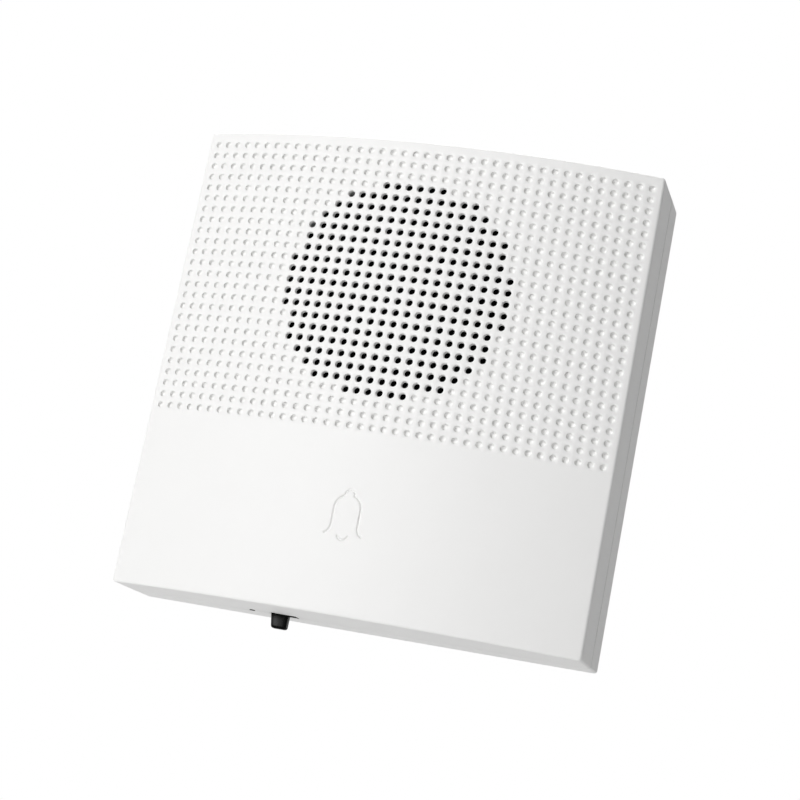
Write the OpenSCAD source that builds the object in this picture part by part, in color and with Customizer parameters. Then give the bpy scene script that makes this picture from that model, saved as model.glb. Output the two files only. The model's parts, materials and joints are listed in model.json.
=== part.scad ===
// Doorbell chime box: a two-part case for the wall, a loudspeaker behind a drilled grille,
// a circuit board with a slide switch, and screw terminals reached through a window in the back.
// X is to the right, Z is up, the wall is the plane y = 0 and the front faces -Y.
// The origin is the middle of the back.

/* [Case] */
// Width of the case
case_w = 90; // [88:1:104]
// Height of the case
case_h = 90; // [88:1:104]
// Depth from the wall to the middle of the bowed front
case_d = 25; // [24.5:0.5:32]
// Depth of the rear case, from the wall to the parting line
rear_d = 8; // [7:0.5:9]
// Radius of the bowed front
face_r = 160; // [140:5:260]
// Wall of both mouldings
wall = 2; // [1.6:0.1:2.4]
// Rounding of the four edges that run from front to back
corner_r = 0.6; // [0.3:0.1:1.5]
// Shadow gap between the two mouldings at the parting line
seam = 0.3; // [0.1:0.05:0.4]
// Thickness of the lip that locates the rear case
lip_t = 1.2; // [0.8:0.1:1.4]
// Height of the locating lip
lip_h = 2; // [1:0.25:3]
// Clearance around the locating lip
lip_fit = 0.15; // [0.1:0.05:0.3]

/* [Grille] */
// Distance between neighbouring marks
mark_pitch = 2.2; // [2.1:0.05:2.3]
// Diameter of a mark
mark_d = 1.2; // [0.8:0.05:1.4]
// Depth of a mark that stays blind
dimple_depth = 0.45; // [0.3:0.05:1]
// Rows of marks
mark_rows = 25; // [21:2:25]
// Distance from the top of the case to the middle of the first row
row_top = 2.6; // [2:0.1:4]
// Least distance from a side of the case to the middle of the outer column
column_side = 2; // [1.5:0.1:5]
// Width of the ellipse inside which the marks go right through
grille_w = 43.9; // [30:0.1:44.5]
// Height of the ellipse inside which the marks go right through
grille_h = 42.2; // [30:0.1:44.5]
// Wall of the front inside the loudspeaker's collar, where the marks go through
grille_t = 0.9; // [0.7:0.1:1.6]

/* [Bell sign] */
// Middle of the bell from the middle of the case
bell_x = -0.4; // [-2:0.1:2]
// Height of the bell's lip above the bottom of the case
bell_up = 14.6; // [10:0.1:16]
// Radius of the bell's dome
bell_r = 2.5; // [2:0.1:4]
// Length of the bell's straight sides
bell_side = 3.2; // [2:0.1:5]
// Radius of the flare at the bell's lip
bell_flare_r = 1.8; // [1.7:0.1:3]
// Height of the flare at the bell's lip
bell_flare_h = 1.6; // [1:0.1:1.7]
// Radius of the crown on top of the bell
bell_crown_r = 0.9; // [0.6:0.1:1.4]
// Radius of the clapper below the bell
bell_clapper_r = 1; // [0.6:0.1:1.4]
// Width of the engraved line
bell_line = 0.5; // [0.3:0.05:0.8]
// Depth of the engraved line
bell_depth = 0.3; // [0.1:0.05:0.6]

/* [Wall fixing] */
// Distance between the two keyholes
keyhole_gap = 60; // [50:1:64]
// Height of the keyholes above the middle of the case
keyhole_up = 20; // [10:1:26]
// Diameter of a keyhole's round opening
keyhole_d = 8; // [7:0.5:10]
// Width of a keyhole's neck
neck_w = 4.2; // [3.5:0.1:5]
// Length of a keyhole's neck above the middle of its round opening
neck_l = 8; // [6:0.5:10]

/* [Fasteners] */
// Diameter of a case screw's shank
case_screw_d = 2.6; // [2.2:0.1:3]
// Length of a case screw's shank
case_screw_l = 12; // [8:0.5:12]
// Diameter of a case screw's head
case_head_d = 5; // [4:0.1:5.4]
// Height of a case screw's head
case_head_h = 1.9; // [1.2:0.1:2.2]
// Depth of the seat of a case screw's head below the back
case_seat = 3.4; // [2.6:0.1:4]
// Diameter of the front cover's bosses for the case screws
case_boss_d = 7; // [6:0.1:7.4]
// Diameter of the rear case's posts for the case screws
case_post_d = 8.4; // [7.6:0.1:9]
// Diameter of a small screw's shank, on the board and the loudspeaker
small_screw_d = 2.2; // [1.8:0.1:2.6]
// Diameter of a small screw's head
small_head_d = 4.6; // [3.6:0.1:5]
// Height of a small screw's head
small_head_h = 1.5; // [1:0.1:1.8]
// Diameter of the bosses for the small screws
small_boss_d = 4.8; // [4:0.1:5.4]
// Reach of a small screw into its boss
small_screw_in = 3; // [2:0.1:3.2]
// Clearance around a screw in its hole
screw_fit = 0.05; // [0.02:0.01:0.1]
// Spare depth below a screw's tip
screw_spare = 0.5; // [0.3:0.1:0.6]
// Width of the cross in a screw's head
cross_w = 0.7; // [0.5:0.1:0.9]
// Depth of the cross in a screw's head
cross_depth = 0.8; // [0.5:0.1:1]

/* [Slide switch and indicator] */
// Middle of the switch from the middle of the case
switch_x = -13.2; // [-14:0.1:14]
// Width of the knob
knob_w = 3.4; // [2.8:0.1:3.8]
// Thickness of the knob
knob_t = 1.8; // [1.2:0.1:2]
// Reach of the knob below the case
knob_out = 2.7; // [1.5:0.1:4]
// Rounding of the knob's tip
knob_tip_r = 0.6; // [0.3:0.1:0.8]
// Travel of the knob
knob_travel = 1.4; // [1.2:0.1:2]
// Clearance of the knob at each end of its travel
knob_fit = 0.15; // [0.1:0.05:0.3]
// Width of the slot for the knob, front to back
slot_t = 2.2; // [2.1:0.1:2.6]
// Distance from the parting line to the slot
slot_rise = 0.6; // [0.4:0.1:1]
// Depth of the foot of the strip that closes the slot
strip_foot = 1.5; // [1:0.1:2]
// Width of the switch's body
switch_w = 8.6; // [8.4:0.1:10]
// Height of the switch's body above the board
switch_h = 4.6; // [4.4:0.1:5]
// Length of the switch's body along the board
switch_l = 4.4; // [4:0.1:6]
// Sheet of the switch's shell
switch_sheet = 0.3; // [0.2:0.05:0.4]
// Middle of the indicator from the middle of the case
led_x = -19.6; // [-22:0.1:-19.4]
// Diameter of the indicator's pinhole
pinhole_d = 1.1; // [0.8:0.1:2]
// Diameter of the indicator's lens
led_d = 3; // [2.6:0.1:3.2]
// Length of the indicator's lens
led_l = 5.3; // [4.6:0.1:5.6]
// Clearance of the lens's nose in the pinhole
nose_fit = 0.05; // [0.03:0.01:0.1]

/* [Loudspeaker] */
// Diameter of the loudspeaker's frame
speaker_d = 50; // [48:0.5:52]
// Width of the frame's flange
flange_w = 3.2; // [3:0.1:3.6]
// Sheet of the frame
basket_t = 0.8; // [0.6:0.1:1]
// Depth of the frame, flange to back plate
basket_d = 7.8; // [7.6:0.1:8.4]
// Thickness of the dust cloth
cloth_t = 0.4; // [0.3:0.05:0.8]
// Thickness of the paper gasket
gasket_t = 0.8; // [0.5:0.1:1.2]
// Thickness of the surround
surround_t = 0.3; // [0.2:0.05:0.4]
// Width of the surround's roll
roll_w = 2; // [1.6:0.1:2.2]
// Thickness of the cone's paper
cone_t = 0.4; // [0.3:0.05:0.6]
// Depth of the cone
cone_d = 4.5; // [4:0.1:4.8]
// Radius of the dust cap
cap_r = 7.6; // [7:0.1:9]
// Rise of the dust cap
cap_rise = 2.2; // [1.6:0.1:2.8]
// Diameter of the pole in the middle of the magnet
pole_d = 11.2; // [10.8:0.1:11.6]
// Wall of the voice coil's former
former_t = 0.25; // [0.2:0.05:0.3]
// Thickness of the copper winding
winding_t = 0.4; // [0.3:0.05:0.5]
// Length of the copper winding
winding_l = 3; // [2:0.1:3.6]
// Air gap on each side of the voice coil
coil_gap = 0.35; // [0.3:0.05:0.45]
// Diameter of the magnet
magnet_d = 28; // [26:0.5:32]
// Room between the loudspeaker and the back of the case
yoke_gap = 2.1; // [1:0.1:3]
// Diameter of the two steel plates
plate_d = 25; // [24:0.5:26]
// Thickness of the steel plates
plate_t = 1.7; // [1.4:0.1:2]
// Height of the least of the seat's collar on the front cover
seat_rise = 0.4; // [0.3:0.1:1]
// Diameter of a clamping washer
washer_d = 8; // [7.4:0.1:9]
// Thickness of a clamping washer
washer_t = 0.8; // [0.5:0.1:1]

/* [Circuit board] */
// Height of the board
board_h = 28; // [27:0.5:30]
// Thickness of the board
board_t = 1.6; // [1:0.1:2]
// Distance from the board to the bottom wall
board_gap = 2; // [1.8:0.1:3]
// Distance from the board's sides to the case bosses
board_side = 1.25; // [0.8:0.05:2]
// Distance from the board's edges to its screws
board_inset = 3; // [2.8:0.1:4]
// Diameter of a component's leg
leg_d = 0.6; // [0.4:0.05:0.7]
// Clearance of a leg in its hole
leg_fit = 0.05; // [0.03:0.01:0.1]
// Reach of the legs past the board
leg_out = 1; // [0.5:0.1:1.5]
// Diameters of the three round capacitors
capacitor_d = [8, 6.3, 5]; // [4:0.1:8.4]
// Height of the round capacitors
capacitor_h = 7; // [5:0.1:8.5]
// Length of the sound chip
chip_l = 10; // [9.6:0.1:10.4]
// Length of the amplifier chip
amplifier_l = 5; // [4.8:0.1:5.4]
// Width of both chips
chip_w = 3.9; // [3.6:0.1:4.2]
// Height of both chips above the board
chip_h = 1.7; // [1.4:0.1:2]
// Distance between the chips' leads
lead_pitch = 1.27; // [1.2:0.01:1.3]
// Length of a small chip part
chip_part_l = 2; // [1.6:0.1:2.2]
// Width of a small chip part
chip_part_w = 1.25; // [0.8:0.05:1.6]
// Height of a small chip part
chip_part_h = 0.6; // [0.4:0.05:1]
// Distance between neighbouring small chip parts
chip_part_gap = 3; // [2.6:0.1:3.2]
// Diameter of the regulator's round back
regulator_d = 4.6; // [4.2:0.1:4.8]
// Height of the regulator's body
regulator_h = 4.6; // [4:0.1:5]
// Diameter of the diode
diode_d = 2.7; // [2.2:0.1:3]
// Length of the diode
diode_l = 5.2; // [4.6:0.1:5.6]
// Diameter of a speaker lead over its insulation
speaker_lead_d = 1.2; // [1:0.1:1.3]

/* [Terminals] */
// Middle of the terminal block from the middle of the case
terminal_x = 18.2; // [17:0.1:18.4]
// Distance between neighbouring terminals
terminal_pitch = 5; // [4.8:0.05:5.1]
// Depth of the terminal block along the board
terminal_l = 8; // [8:0.1:9]
// Height of the terminal block above the board
terminal_h = 9.4; // [9.2:0.1:9.8]
// Diameter of a terminal screw's head
terminal_head_d = 3.2; // [2.8:0.1:3.4]
// Diameter of a terminal screw's shank
terminal_screw_d = 2; // [1.6:0.1:2.2]
// Lift of a wire clamp from open to closed
clamp_lift = 1.2; // [0.8:0.1:1.2]
// Width of a wire clamp
clamp_w = 3.6; // [3.2:0.1:3.7]
// Wall of a wire clamp
clamp_t = 0.6; // [0.4:0.05:0.7]
// Thickness of a wire clamp's threaded top
clamp_top_t = 1; // [0.8:0.1:1.2]
// Clear height inside an open wire clamp
clamp_gap = 2.8; // [2.7:0.1:3]
// Clearance around a wire clamp
clamp_fit = 0.2; // [0.1:0.05:0.3]
// Room left around the terminals in the back's window
window_gap = 0.8; // [0.5:0.1:1.5]
// Height of the window above the terminals, for the house wires
window_h = 11.5; // [8:0.5:12]

/* [Hidden] */
$fn = 48;

// Facets of the large bowed front
bow_fn = 360;
// Facets of a mark
mark_fn = 24;
// Overrun of a cut past the face it opens
over = 1;

// Where the case's faces lie
bottom_z = -case_h / 2;
inner_w = case_w - 2 * wall;
inner_h = case_h - 2 * wall;
rim_y = -rear_d + seam;
bow_y = face_r - case_d;
function lining_y(x) = bow_y - sqrt(pow(face_r - wall, 2) - x * x);

// The marks and what lies behind them
mark_cols = floor((case_w - 2 * column_side) / mark_pitch) + 1;
last_col = (mark_cols - 1) / 2;
last_row = (mark_rows - 1) / 2;
speaker_z = case_h / 2 - row_top - last_row * mark_pitch;
function goes_through(x, z) = pow(2 * x / grille_w, 2) + pow(2 * z / grille_h, 2) < 1;

// The loudspeaker's layers from front to back
speaker_r = speaker_d / 2;
seat_y = lining_y(speaker_r) + seat_rise;
gasket_y = seat_y + cloth_t;
surround_y = gasket_y + gasket_t;
flange_y = surround_y + surround_t;
clamp_y = flange_y + basket_t;

// Radii of the loudspeaker's pieces
collar_t = 2.2;
part_gap = 0.2;
cone_rim_w = 1.2;
magnet_room = 1.2;
ledge_w = 1.2;
basket_r = speaker_r - flange_w;
roll_out_r = basket_r - part_gap;
roll_in_r = roll_out_r - roll_w;
cone_r = roll_in_r - cone_rim_w;
pole_r = pole_d / 2;
former_in_r = pole_r + coil_gap;
former_r = former_in_r + former_t;
winding_r = former_r + winding_t;
gap_r = winding_r + coil_gap;
plate_r = plate_d / 2;
magnet_r = magnet_d / 2;
magnet_in_r = gap_r + magnet_room;

// Depths behind the flange's front face
basket_straight = 1.6;
spider_room = 2.3;
ledge_d = basket_d - spider_room;
ledge_r = plate_r + ledge_w;
spider_r = ledge_r - part_gap;
spider_wave = 0.35;
plate_front = basket_d;
magnet_front = plate_front + plate_t;
yoke_back = -wall - yoke_gap - flange_y;
yoke_front = yoke_back - plate_t;
coil_mid = plate_front + plate_t / 2;
coil_end = coil_mid + winding_l / 2 + part_gap;
pole_vent_d = 2.4;

// Bosses and screws
small_boss_r = small_boss_d / 2;
case_boss_r = case_boss_d / 2;
boss_lip_gap = 0.4;
case_boss_x = inner_w / 2 - lip_fit - lip_t - boss_lip_gap - case_boss_r;
case_boss_z = inner_h / 2 - lip_fit - lip_t - boss_lip_gap - case_boss_r;
speaker_boss_at = speaker_r + part_gap * 2 + small_boss_r;
boss_relief = 0.1;
seat_clear = 0.3;

// The switch's slot and the board that follows it
slot_l = knob_w + knob_travel + 2 * knob_fit;
slot_y = -rear_d - slot_rise - slot_t / 2;
knob_x = switch_x - knob_travel / 2;
strip_half = slot_l / 2 - lip_fit;
strip_fit = 0.05;
board_y = slot_y - switch_h / 2;
board_front_y = board_y - board_t;
board_z = bottom_z + wall + board_gap;
board_top_z = board_z + board_h;
board_w = 2 * (case_boss_x - case_boss_r - board_side);
board_screw_x = board_w / 2 - board_inset;

// Inside the switch
switch_back_z = board_z + switch_l;
switch_base_t = 0.8;
contact_t = 0.4;
contact_gap = 0.3;
slider_room = 0.8;
slider_w = switch_w - 2 * switch_sheet - knob_travel - 2 * slider_room;
slider_fit = 0.2;
slider_z = board_z + switch_sheet + slider_fit;
slider_back_z = switch_back_z - switch_base_t - contact_gap - contact_t;
switch_pin_pitch = 2.5;
switch_pin_w = 0.5;
switch_pin_t = 0.3;
switch_pin_run = 0.8;
switch_pin_z = switch_back_z + switch_pin_run;

// Where the components stand: x from the middle, z up from the board's lower edge
board_left = -board_w / 2;
capacitor_at = [[1, 5], [board_left + 5, 17], [board_left + 5.5, 9]];
sound_chip_at = [board_left + 14, 17];
sound_chip_leads = 8;
amplifier_at = [-4, 13];
amplifier_leads = 4;
resistor_row_at = [board_left + 10, 8];
resistor_count = 5;
chip_capacitor_row_at = [board_left + 11, 11.5];
chip_capacitor_count = 4;
regulator_at = [3.6, 13];
diode_at = [2, 18.5];
header_at = [-6, 23];
terminal_up = 12;

// Small details of the components
chip_stand = 0.15;
chip_lead_w = 0.4;
chip_lead_t = 0.2;
chip_lead_out = 1;
capacitor_leg_gap = 2.5;
capacitor_groove = 0.3;
regulator_leg_gap = 1.27;
regulator_stand = 1.5;
regulator_flat = 0.6;
diode_leg_run = 1.6;
diode_stand = 0.15;
diode_y = board_y + diode_stand + diode_d / 2;
led_leg_gap = 2.54;
led_rim_w = 0.4;
led_rim_t = 1;
led_nose = 0.4;
led_tip_z = bottom_z + wall + led_nose;
led_back_z = led_tip_z + led_l;
led_leg_run = 1.4;
header_size = [7.4, 5, 4.6];
header_wall = 0.7;
header_pin_gap = 2.5;
header_pin_w = 0.6;
header_pin_h = 3.4;
plug_fit = 0.15;
plug_h = 5.6;

// The tag strip on the loudspeaker and the tags on it
tag_strip_w = 12;
tag_strip_h = 2.5;
tag_strip_t = 1;
tag_strip_top = speaker_z - basket_r - basket_t - part_gap / 2;
tag_w = 2;
tag_t = 0.4;
tag_gap = 6;
tag_y = clamp_y + tag_strip_t + tag_t;
tag_z = tag_strip_top - tag_strip_h / 2;

// Inside the terminal block
terminal_count = 4;
terminal_end = 0.2;
terminal_w = terminal_count * terminal_pitch + 2 * terminal_end;
terminal_z = board_z + terminal_up;
terminal_floor = 0.8;
clamp_low = terminal_floor + clamp_fit / 2;
clamp_h = clamp_t + clamp_gap + clamp_top_t;
pocket_top = clamp_low + clamp_h + clamp_lift + clamp_fit / 2;
shoulder_t = 0.6;
head_low = pocket_top + shoulder_t + screw_fit;
terminal_head_h = 1.5;
bar_t = 0.6;
bar_w = 1.8;
bar_clear = 0.3;
bar_top = clamp_low + clamp_t + clamp_gap - bar_clear;
pin_w = 1;
pin_behind = clamp_w / 2 + clamp_fit;
wire_entry_w = 3.2;
terminal_ways = [for (k = [1 : terminal_count])
    terminal_x + (k - (terminal_count + 1) / 2) * terminal_pitch];

// Routes of the two leads inside the case, from the plug over the board's top edge to the tags
lead_sides = 8;
lead_steps = 3;
plug_top_y = board_y + plug_h;
function lead_route(side) = [
    [header_at[0] + side * header_pin_gap / 2, plug_top_y, board_z + header_at[1]],
    [header_at[0] + side * header_pin_gap / 2, plug_top_y + 1.2, board_z + header_at[1]],
    [-5.5 + side * 1.3, plug_top_y + 2.2, board_top_z - 3],
    [-5 + side * 1.4, plug_top_y + 1.8, board_top_z - 0.4],
    [-4 + side * 1.6, board_y + 4.6, board_top_z + 1.8],
    [-2 + side * 2.2, board_y + 1.2, board_top_z + 2.6],
    [-0.5 + side * 2.8, tag_y + 2.9, max(tag_z - 1, board_top_z + 1.6)],
    [side * tag_gap / 2, tag_y + 1.4, tag_z],
    [side * tag_gap / 2, tag_y, tag_z]
];

// A box between two corners
module block(low, high) {
    translate(low) cube(high - low);
}

// An outline of x and z, drawn out from y0 to y1
module along_y(y0, y1) {
    translate([0, y1, 0]) rotate([90, 0, 0]) linear_extrude(y1 - y0) children();
}

// A round bar along y
module bar_y(x, z, y0, y1, r) {
    translate([x, y1, z]) rotate([90, 0, 0]) cylinder(r = r, h = y1 - y0);
}

// A profile of radius and depth, turned about the loudspeaker's axis
module turned() {
    translate([0, flange_y, speaker_z]) rotate([-90, 0, 0]) rotate_extrude() children();
}

module turned_ring(r0, r1, d0, d1) {
    turned() translate([r0, d0]) square([r1 - r0, d1 - d0]);
}

module rounded_outline(w, h, r) {
    square([w - 2 * r, h], center = true);
    square([w, h - 2 * r], center = true);
    for (x = [-1, 1], z = [-1, 1])
        translate([x * (w / 2 - r), z * (h / 2 - r)]) circle(r = r);
}

// Everything behind the bowed surface of radius r
module bowed(r) {
    translate([0, bow_y, -case_h]) cylinder(r = r, h = 2 * case_h, $fn = bow_fn);
}

module at_case_bosses() {
    for (x = [-1, 1], z = [-1, 1])
        translate([x * case_boss_x, 0, z * case_boss_z]) children();
}

module at_board_screws() {
    for (x = [-1, 1], z = [board_z + board_inset, board_top_z - board_inset])
        translate([x * board_screw_x, 0, z]) children();
}

module at_speaker_screws() {
    for (turn = [45 : 90 : 315])
        translate([speaker_boss_at * cos(turn), 0, speaker_z + speaker_boss_at * sin(turn)]) children();
}

// A pan head screw with a cross, its head's seat at y = 0 and its tip towards -Y
module screw(shank_d, shank_l, head_d, head_h) {
    difference() {
        union() {
            bar_y(0, 0, -shank_l, over / 2, shank_d / 2);
            bar_y(0, 0, 0, head_h, head_d / 2);
        }
        for (turn = [0, 90])
            rotate([0, turn, 0])
                block([-head_d / 3, head_h - cross_depth, -cross_w / 2],
                      [head_d / 3, head_h + over, cross_w / 2]);
    }
}

// The marks as discs on the front, either those that go through or those that stay blind
module marks(through) {
    for (col = [-last_col : last_col], row = [-last_row : last_row])
        if (goes_through(col * mark_pitch, row * mark_pitch) == through)
            translate([col * mark_pitch, speaker_z + row * mark_pitch]) circle(d = mark_d, $fn = mark_fn);
}

module line_ring(r) {
    difference() {
        circle(r = r + bell_line / 2);
        circle(r = r - bell_line / 2);
    }
}

// The outline of a bell with a crown, two flared sides and a clapper, about x = 0
module bell_outline() {
    lip_z = bottom_z + bell_up;
    flare_z = lip_z + bell_flare_h;
    dome_z = flare_z + bell_side;
    reach = bell_r + bell_flare_r;
    room = 2 * reach;
    translate([0, dome_z]) intersection() {
        line_ring(bell_r);
        translate([-room, 0]) square([2 * room, room]);
    }
    translate([0, dome_z + bell_r]) intersection() {
        line_ring(bell_crown_r);
        translate([-room, bell_line / 2]) square([2 * room, room]);
    }
    translate([0, lip_z]) intersection() {
        line_ring(bell_clapper_r);
        translate([-room, -room - bell_line / 2]) square([2 * room, room]);
    }
    for (side = [-1, 1]) {
        translate([side * bell_r - bell_line / 2, flare_z]) square([bell_line, bell_side]);
        translate([side * reach, flare_z]) intersection() {
            line_ring(bell_flare_r);
            translate([side > 0 ? -room : 0, -bell_flare_h]) square([room, bell_flare_h]);
        }
    }
}

module front_cover() {
    pilot_r = small_screw_d / 2 + screw_fit;
    case_pilot_r = case_screw_d / 2 + screw_fit;
    color("white") difference() {
        union() {
            difference() {
                intersection() {
                    along_y(-case_d, -rear_d) rounded_outline(case_w, case_h, corner_r);
                    bowed(face_r);
                }
                intersection() {
                    along_y(-case_d, -rear_d + over) square([inner_w, inner_h], center = true);
                    bowed(face_r - wall);
                }
            }
            intersection() {
                bowed(face_r - wall / 2);
                union() {
                    translate([0, seat_y, speaker_z]) rotate([90, 0, 0]) difference() {
                        cylinder(r = speaker_r, h = case_d);
                        translate([0, 0, -over]) cylinder(r = speaker_r - collar_t, h = case_d + 2 * over);
                    }
                    at_speaker_screws() bar_y(0, 0, -case_d, clamp_y - boss_relief, small_boss_r);
                    at_board_screws() bar_y(0, 0, -case_d, board_front_y, small_boss_r);
                    at_case_bosses() bar_y(0, 0, -case_d, -rear_d, case_boss_r);
                }
            }
        }
        intersection() {
            bowed(face_r - grille_t);
            bar_y(0, speaker_z, -case_d, seat_y, speaker_r - collar_t);
        }
        along_y(-case_d - over, seat_y) marks(true);
        difference() {
            along_y(-case_d - over, -rear_d) marks(false);
            bowed(face_r - dimple_depth);
        }
        difference() {
            along_y(-case_d - over, -rear_d) translate([bell_x, 0]) bell_outline();
            bowed(face_r - bell_depth);
        }
        at_speaker_screws() bar_y(0, 0, clamp_y - small_screw_in - screw_spare, clamp_y + over, pilot_r);
        at_board_screws()
            bar_y(0, 0, board_front_y - small_screw_in - screw_spare, board_front_y + over, pilot_r);
        at_case_bosses() bar_y(0, 0, -case_seat - case_screw_l - screw_spare, -rear_d + over, case_pilot_r);
        block([switch_x - slot_l / 2, slot_y - slot_t / 2, bottom_z - over],
              [switch_x + slot_l / 2, -rear_d + over, bottom_z + wall + over]);
        translate([led_x, slot_y, bottom_z - over]) cylinder(d = pinhole_d, h = wall + 2 * over);
    }
}

// The window in the back, which clears the terminals and lets the house wires in
module back_window() {
    half_w = terminal_w / 2 + window_gap;
    low_z = terminal_z - terminal_l / 2 - window_gap;
    high_z = terminal_z + terminal_l / 2 + window_h;
    block([terminal_x - half_w, -wall - over, low_z], [terminal_x + half_w, over, high_z]);
}

module keyhole() {
    circle(d = keyhole_d);
    translate([-neck_w / 2, 0]) square([neck_w, neck_l]);
    translate([0, neck_l]) circle(d = neck_w);
}

module rear_case() {
    lip_w = inner_w - 2 * lip_fit;
    lip_l = inner_h - 2 * lip_fit;
    lip_root = 2;
    lip_cut = 3;
    color("white") difference() {
        union() {
            difference() {
                along_y(rim_y, 0) rounded_outline(case_w, case_h, corner_r);
                along_y(rim_y - over, -wall) square([inner_w, inner_h], center = true);
            }
            difference() {
                union() {
                    along_y(-rear_d - lip_h, rim_y + lip_root) square([lip_w, lip_l], center = true);
                    along_y(rim_y, rim_y + lip_root)
                        square([inner_w + wall, inner_h + wall], center = true);
                }
                along_y(-rear_d - lip_h - over, over)
                    square([lip_w - 2 * lip_t, lip_l - 2 * lip_t], center = true);
                block([led_x - lip_cut, -rear_d - lip_h - over, bottom_z],
                      [switch_x + slot_l / 2 + lip_cut, rim_y, bottom_z + wall + lip_cut]);
            }
            at_case_bosses() bar_y(0, 0, -rear_d, -wall / 2, case_post_d / 2);
        }
        block([switch_x - strip_half - strip_fit, rim_y - over, bottom_z + wall / 2 - strip_fit],
              [switch_x + strip_half + strip_fit, rim_y + strip_foot + strip_fit,
               bottom_z + wall + strip_fit]);
        at_case_bosses() {
            bar_y(0, 0, -rear_d - over, over, case_screw_d / 2 + screw_fit);
            bar_y(0, 0, -case_seat, over, case_head_d / 2 + seat_clear);
        }
        for (side = [-1, 1])
            translate([side * keyhole_gap / 2, 0, keyhole_up]) along_y(-wall - over, over) keyhole();
        back_window();
    }
}

// The strip between the slot and the rear case, on a foot in the rear case's rim
module slot_strip() {
    strip_y = -rear_d - slot_rise;
    color("black") {
        block([switch_x - strip_half, strip_y, bottom_z], [switch_x + strip_half, rim_y, bottom_z + wall]);
        block([switch_x - strip_half, strip_y, bottom_z + wall / 2],
              [switch_x + strip_half, rim_y + strip_foot, bottom_z + wall]);
    }
}

module case_screws() {
    color("silver") at_case_bosses() translate([0, -case_seat, 0])
        screw(case_screw_d, case_screw_l, case_head_d, case_head_h);
}

module dust_cloth() {
    color("black") translate([0, gasket_y, speaker_z]) rotate([90, 0, 0])
        cylinder(r = speaker_r - part_gap, h = cloth_t);
}

module speaker_gasket() {
    color("dimgray") turned_ring(basket_r, speaker_r - part_gap, -surround_t - gasket_t, -surround_t);
}

module surround() {
    roll_r = roll_w / 2;
    color("black") turned() {
        translate([roll_out_r - surround_t, -surround_t])
            square([speaker_r - part_gap - roll_out_r + surround_t, surround_t]);
        translate([cone_r, -surround_t]) square([cone_rim_w + surround_t, surround_t]);
        translate([roll_in_r + roll_r, -surround_t]) intersection() {
            difference() {
                circle(r = roll_r);
                circle(r = roll_r - surround_t);
            }
            translate([-roll_w, 0]) square(2 * roll_w);
        }
    }
}

module cone() {
    rim = roll_in_r - part_gap;
    color("dimgray") turned() polygon([
        [rim, 0], [cone_r, 0], [former_r, cone_d],
        [former_r, cone_d + cone_t], [cone_r, cone_t], [rim, cone_t]
    ]);
}

module dust_cap() {
    rim_d = (cone_r - cap_r) * cone_d / (cone_r - former_r) - part_gap / 2;
    ball_r = (cap_r * cap_r + cap_rise * cap_rise) / (2 * cap_rise);
    color("black") turned() intersection() {
        translate([0, rim_d - cap_rise + ball_r]) difference() {
            circle(r = ball_r);
            circle(r = ball_r - cone_t);
        }
        translate([0, rim_d - cap_rise - over]) square([cap_r, cap_rise + over]);
    }
}

module coil_former() {
    color("saddlebrown") turned_ring(former_in_r, former_r, cone_d - part_gap, coil_end);
}

module coil_winding() {
    color("chocolate") turned_ring(former_r, winding_r, coil_mid - winding_l / 2, coil_mid + winding_l / 2);
}

module spider() {
    flat = 0.9;
    inner = former_r + part_gap / 4;
    waves = 3;
    run = spider_r - inner - 2 * flat;
    steps = 8 * waves;
    front = ledge_d - surround_t;
    wave = [for (i = [0 : steps])
        [inner + flat + run * i / steps, front + spider_wave * sin(360 * waves * i / steps)]];
    top = concat([[inner, front]], wave, [[spider_r, front]]);
    under = [for (i = [len(top) - 1 : -1 : 0]) top[i] + [0, surround_t]];
    color("goldenrod") turned() polygon(concat(top, under));
}

module speaker_basket() {
    window_w = 9;
    color("silver") difference() {
        turned() polygon([
            [basket_r, 0],
            [speaker_r, 0],
            [speaker_r, basket_t],
            [basket_r + basket_t, basket_t],
            [basket_r + basket_t, basket_straight + basket_t / 2],
            [ledge_r + basket_t, ledge_d + basket_t],
            [plate_r, ledge_d + basket_t],
            [plate_r, basket_d],
            [gap_r, basket_d],
            [gap_r, basket_d - basket_t],
            [plate_r - basket_t, basket_d - basket_t],
            [plate_r - basket_t, ledge_d],
            [ledge_r, ledge_d],
            [basket_r, basket_straight]
        ]);
        for (turn = [45 : 90 : 315])
            translate([0, flange_y + basket_straight + basket_t, speaker_z]) rotate([0, turn, 0])
                block([ledge_r + basket_t + over, 0, -window_w / 2],
                      [speaker_r, ledge_d - basket_straight - basket_t, window_w / 2]);
    }
}

module top_plate() {
    color("lightgray") turned_ring(gap_r, plate_r, plate_front, magnet_front);
}

module magnet() {
    color("dimgray") turned_ring(magnet_in_r, magnet_r, magnet_front, yoke_front);
}

module yoke() {
    color("lightgray") turned() {
        translate([pole_vent_d / 2, yoke_front]) square([plate_r - pole_vent_d / 2, plate_t]);
        translate([pole_vent_d / 2, plate_front])
            square([pole_r - pole_vent_d / 2, yoke_back - plate_front]);
    }
}

module tag_strip() {
    color("sienna") block([-tag_strip_w / 2, clamp_y, tag_strip_top - tag_strip_h],
                          [tag_strip_w / 2, clamp_y + tag_strip_t, tag_strip_top]);
}

module solder_tags() {
    color("gold") for (side = [-1, 1])
        translate([side * tag_gap / 2, 0, 0])
            block([-tag_w / 2, tag_y - tag_t, tag_strip_top - tag_strip_h],
                  [tag_w / 2, tag_y, tag_strip_top]);
}

module speaker_washers() {
    color("silver") at_speaker_screws() difference() {
        bar_y(0, 0, clamp_y, clamp_y + washer_t, washer_d / 2);
        bar_y(0, 0, clamp_y - over, clamp_y + washer_t + over, small_screw_d / 2 + screw_fit);
    }
}

module speaker_screws() {
    color("silver") at_speaker_screws() translate([0, clamp_y + washer_t, 0])
        screw(small_screw_d, small_screw_in + washer_t, small_head_d, small_head_h);
}

module leg_hole(x, z, r) {
    translate([x, z]) circle(r = r + leg_fit);
}

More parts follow.
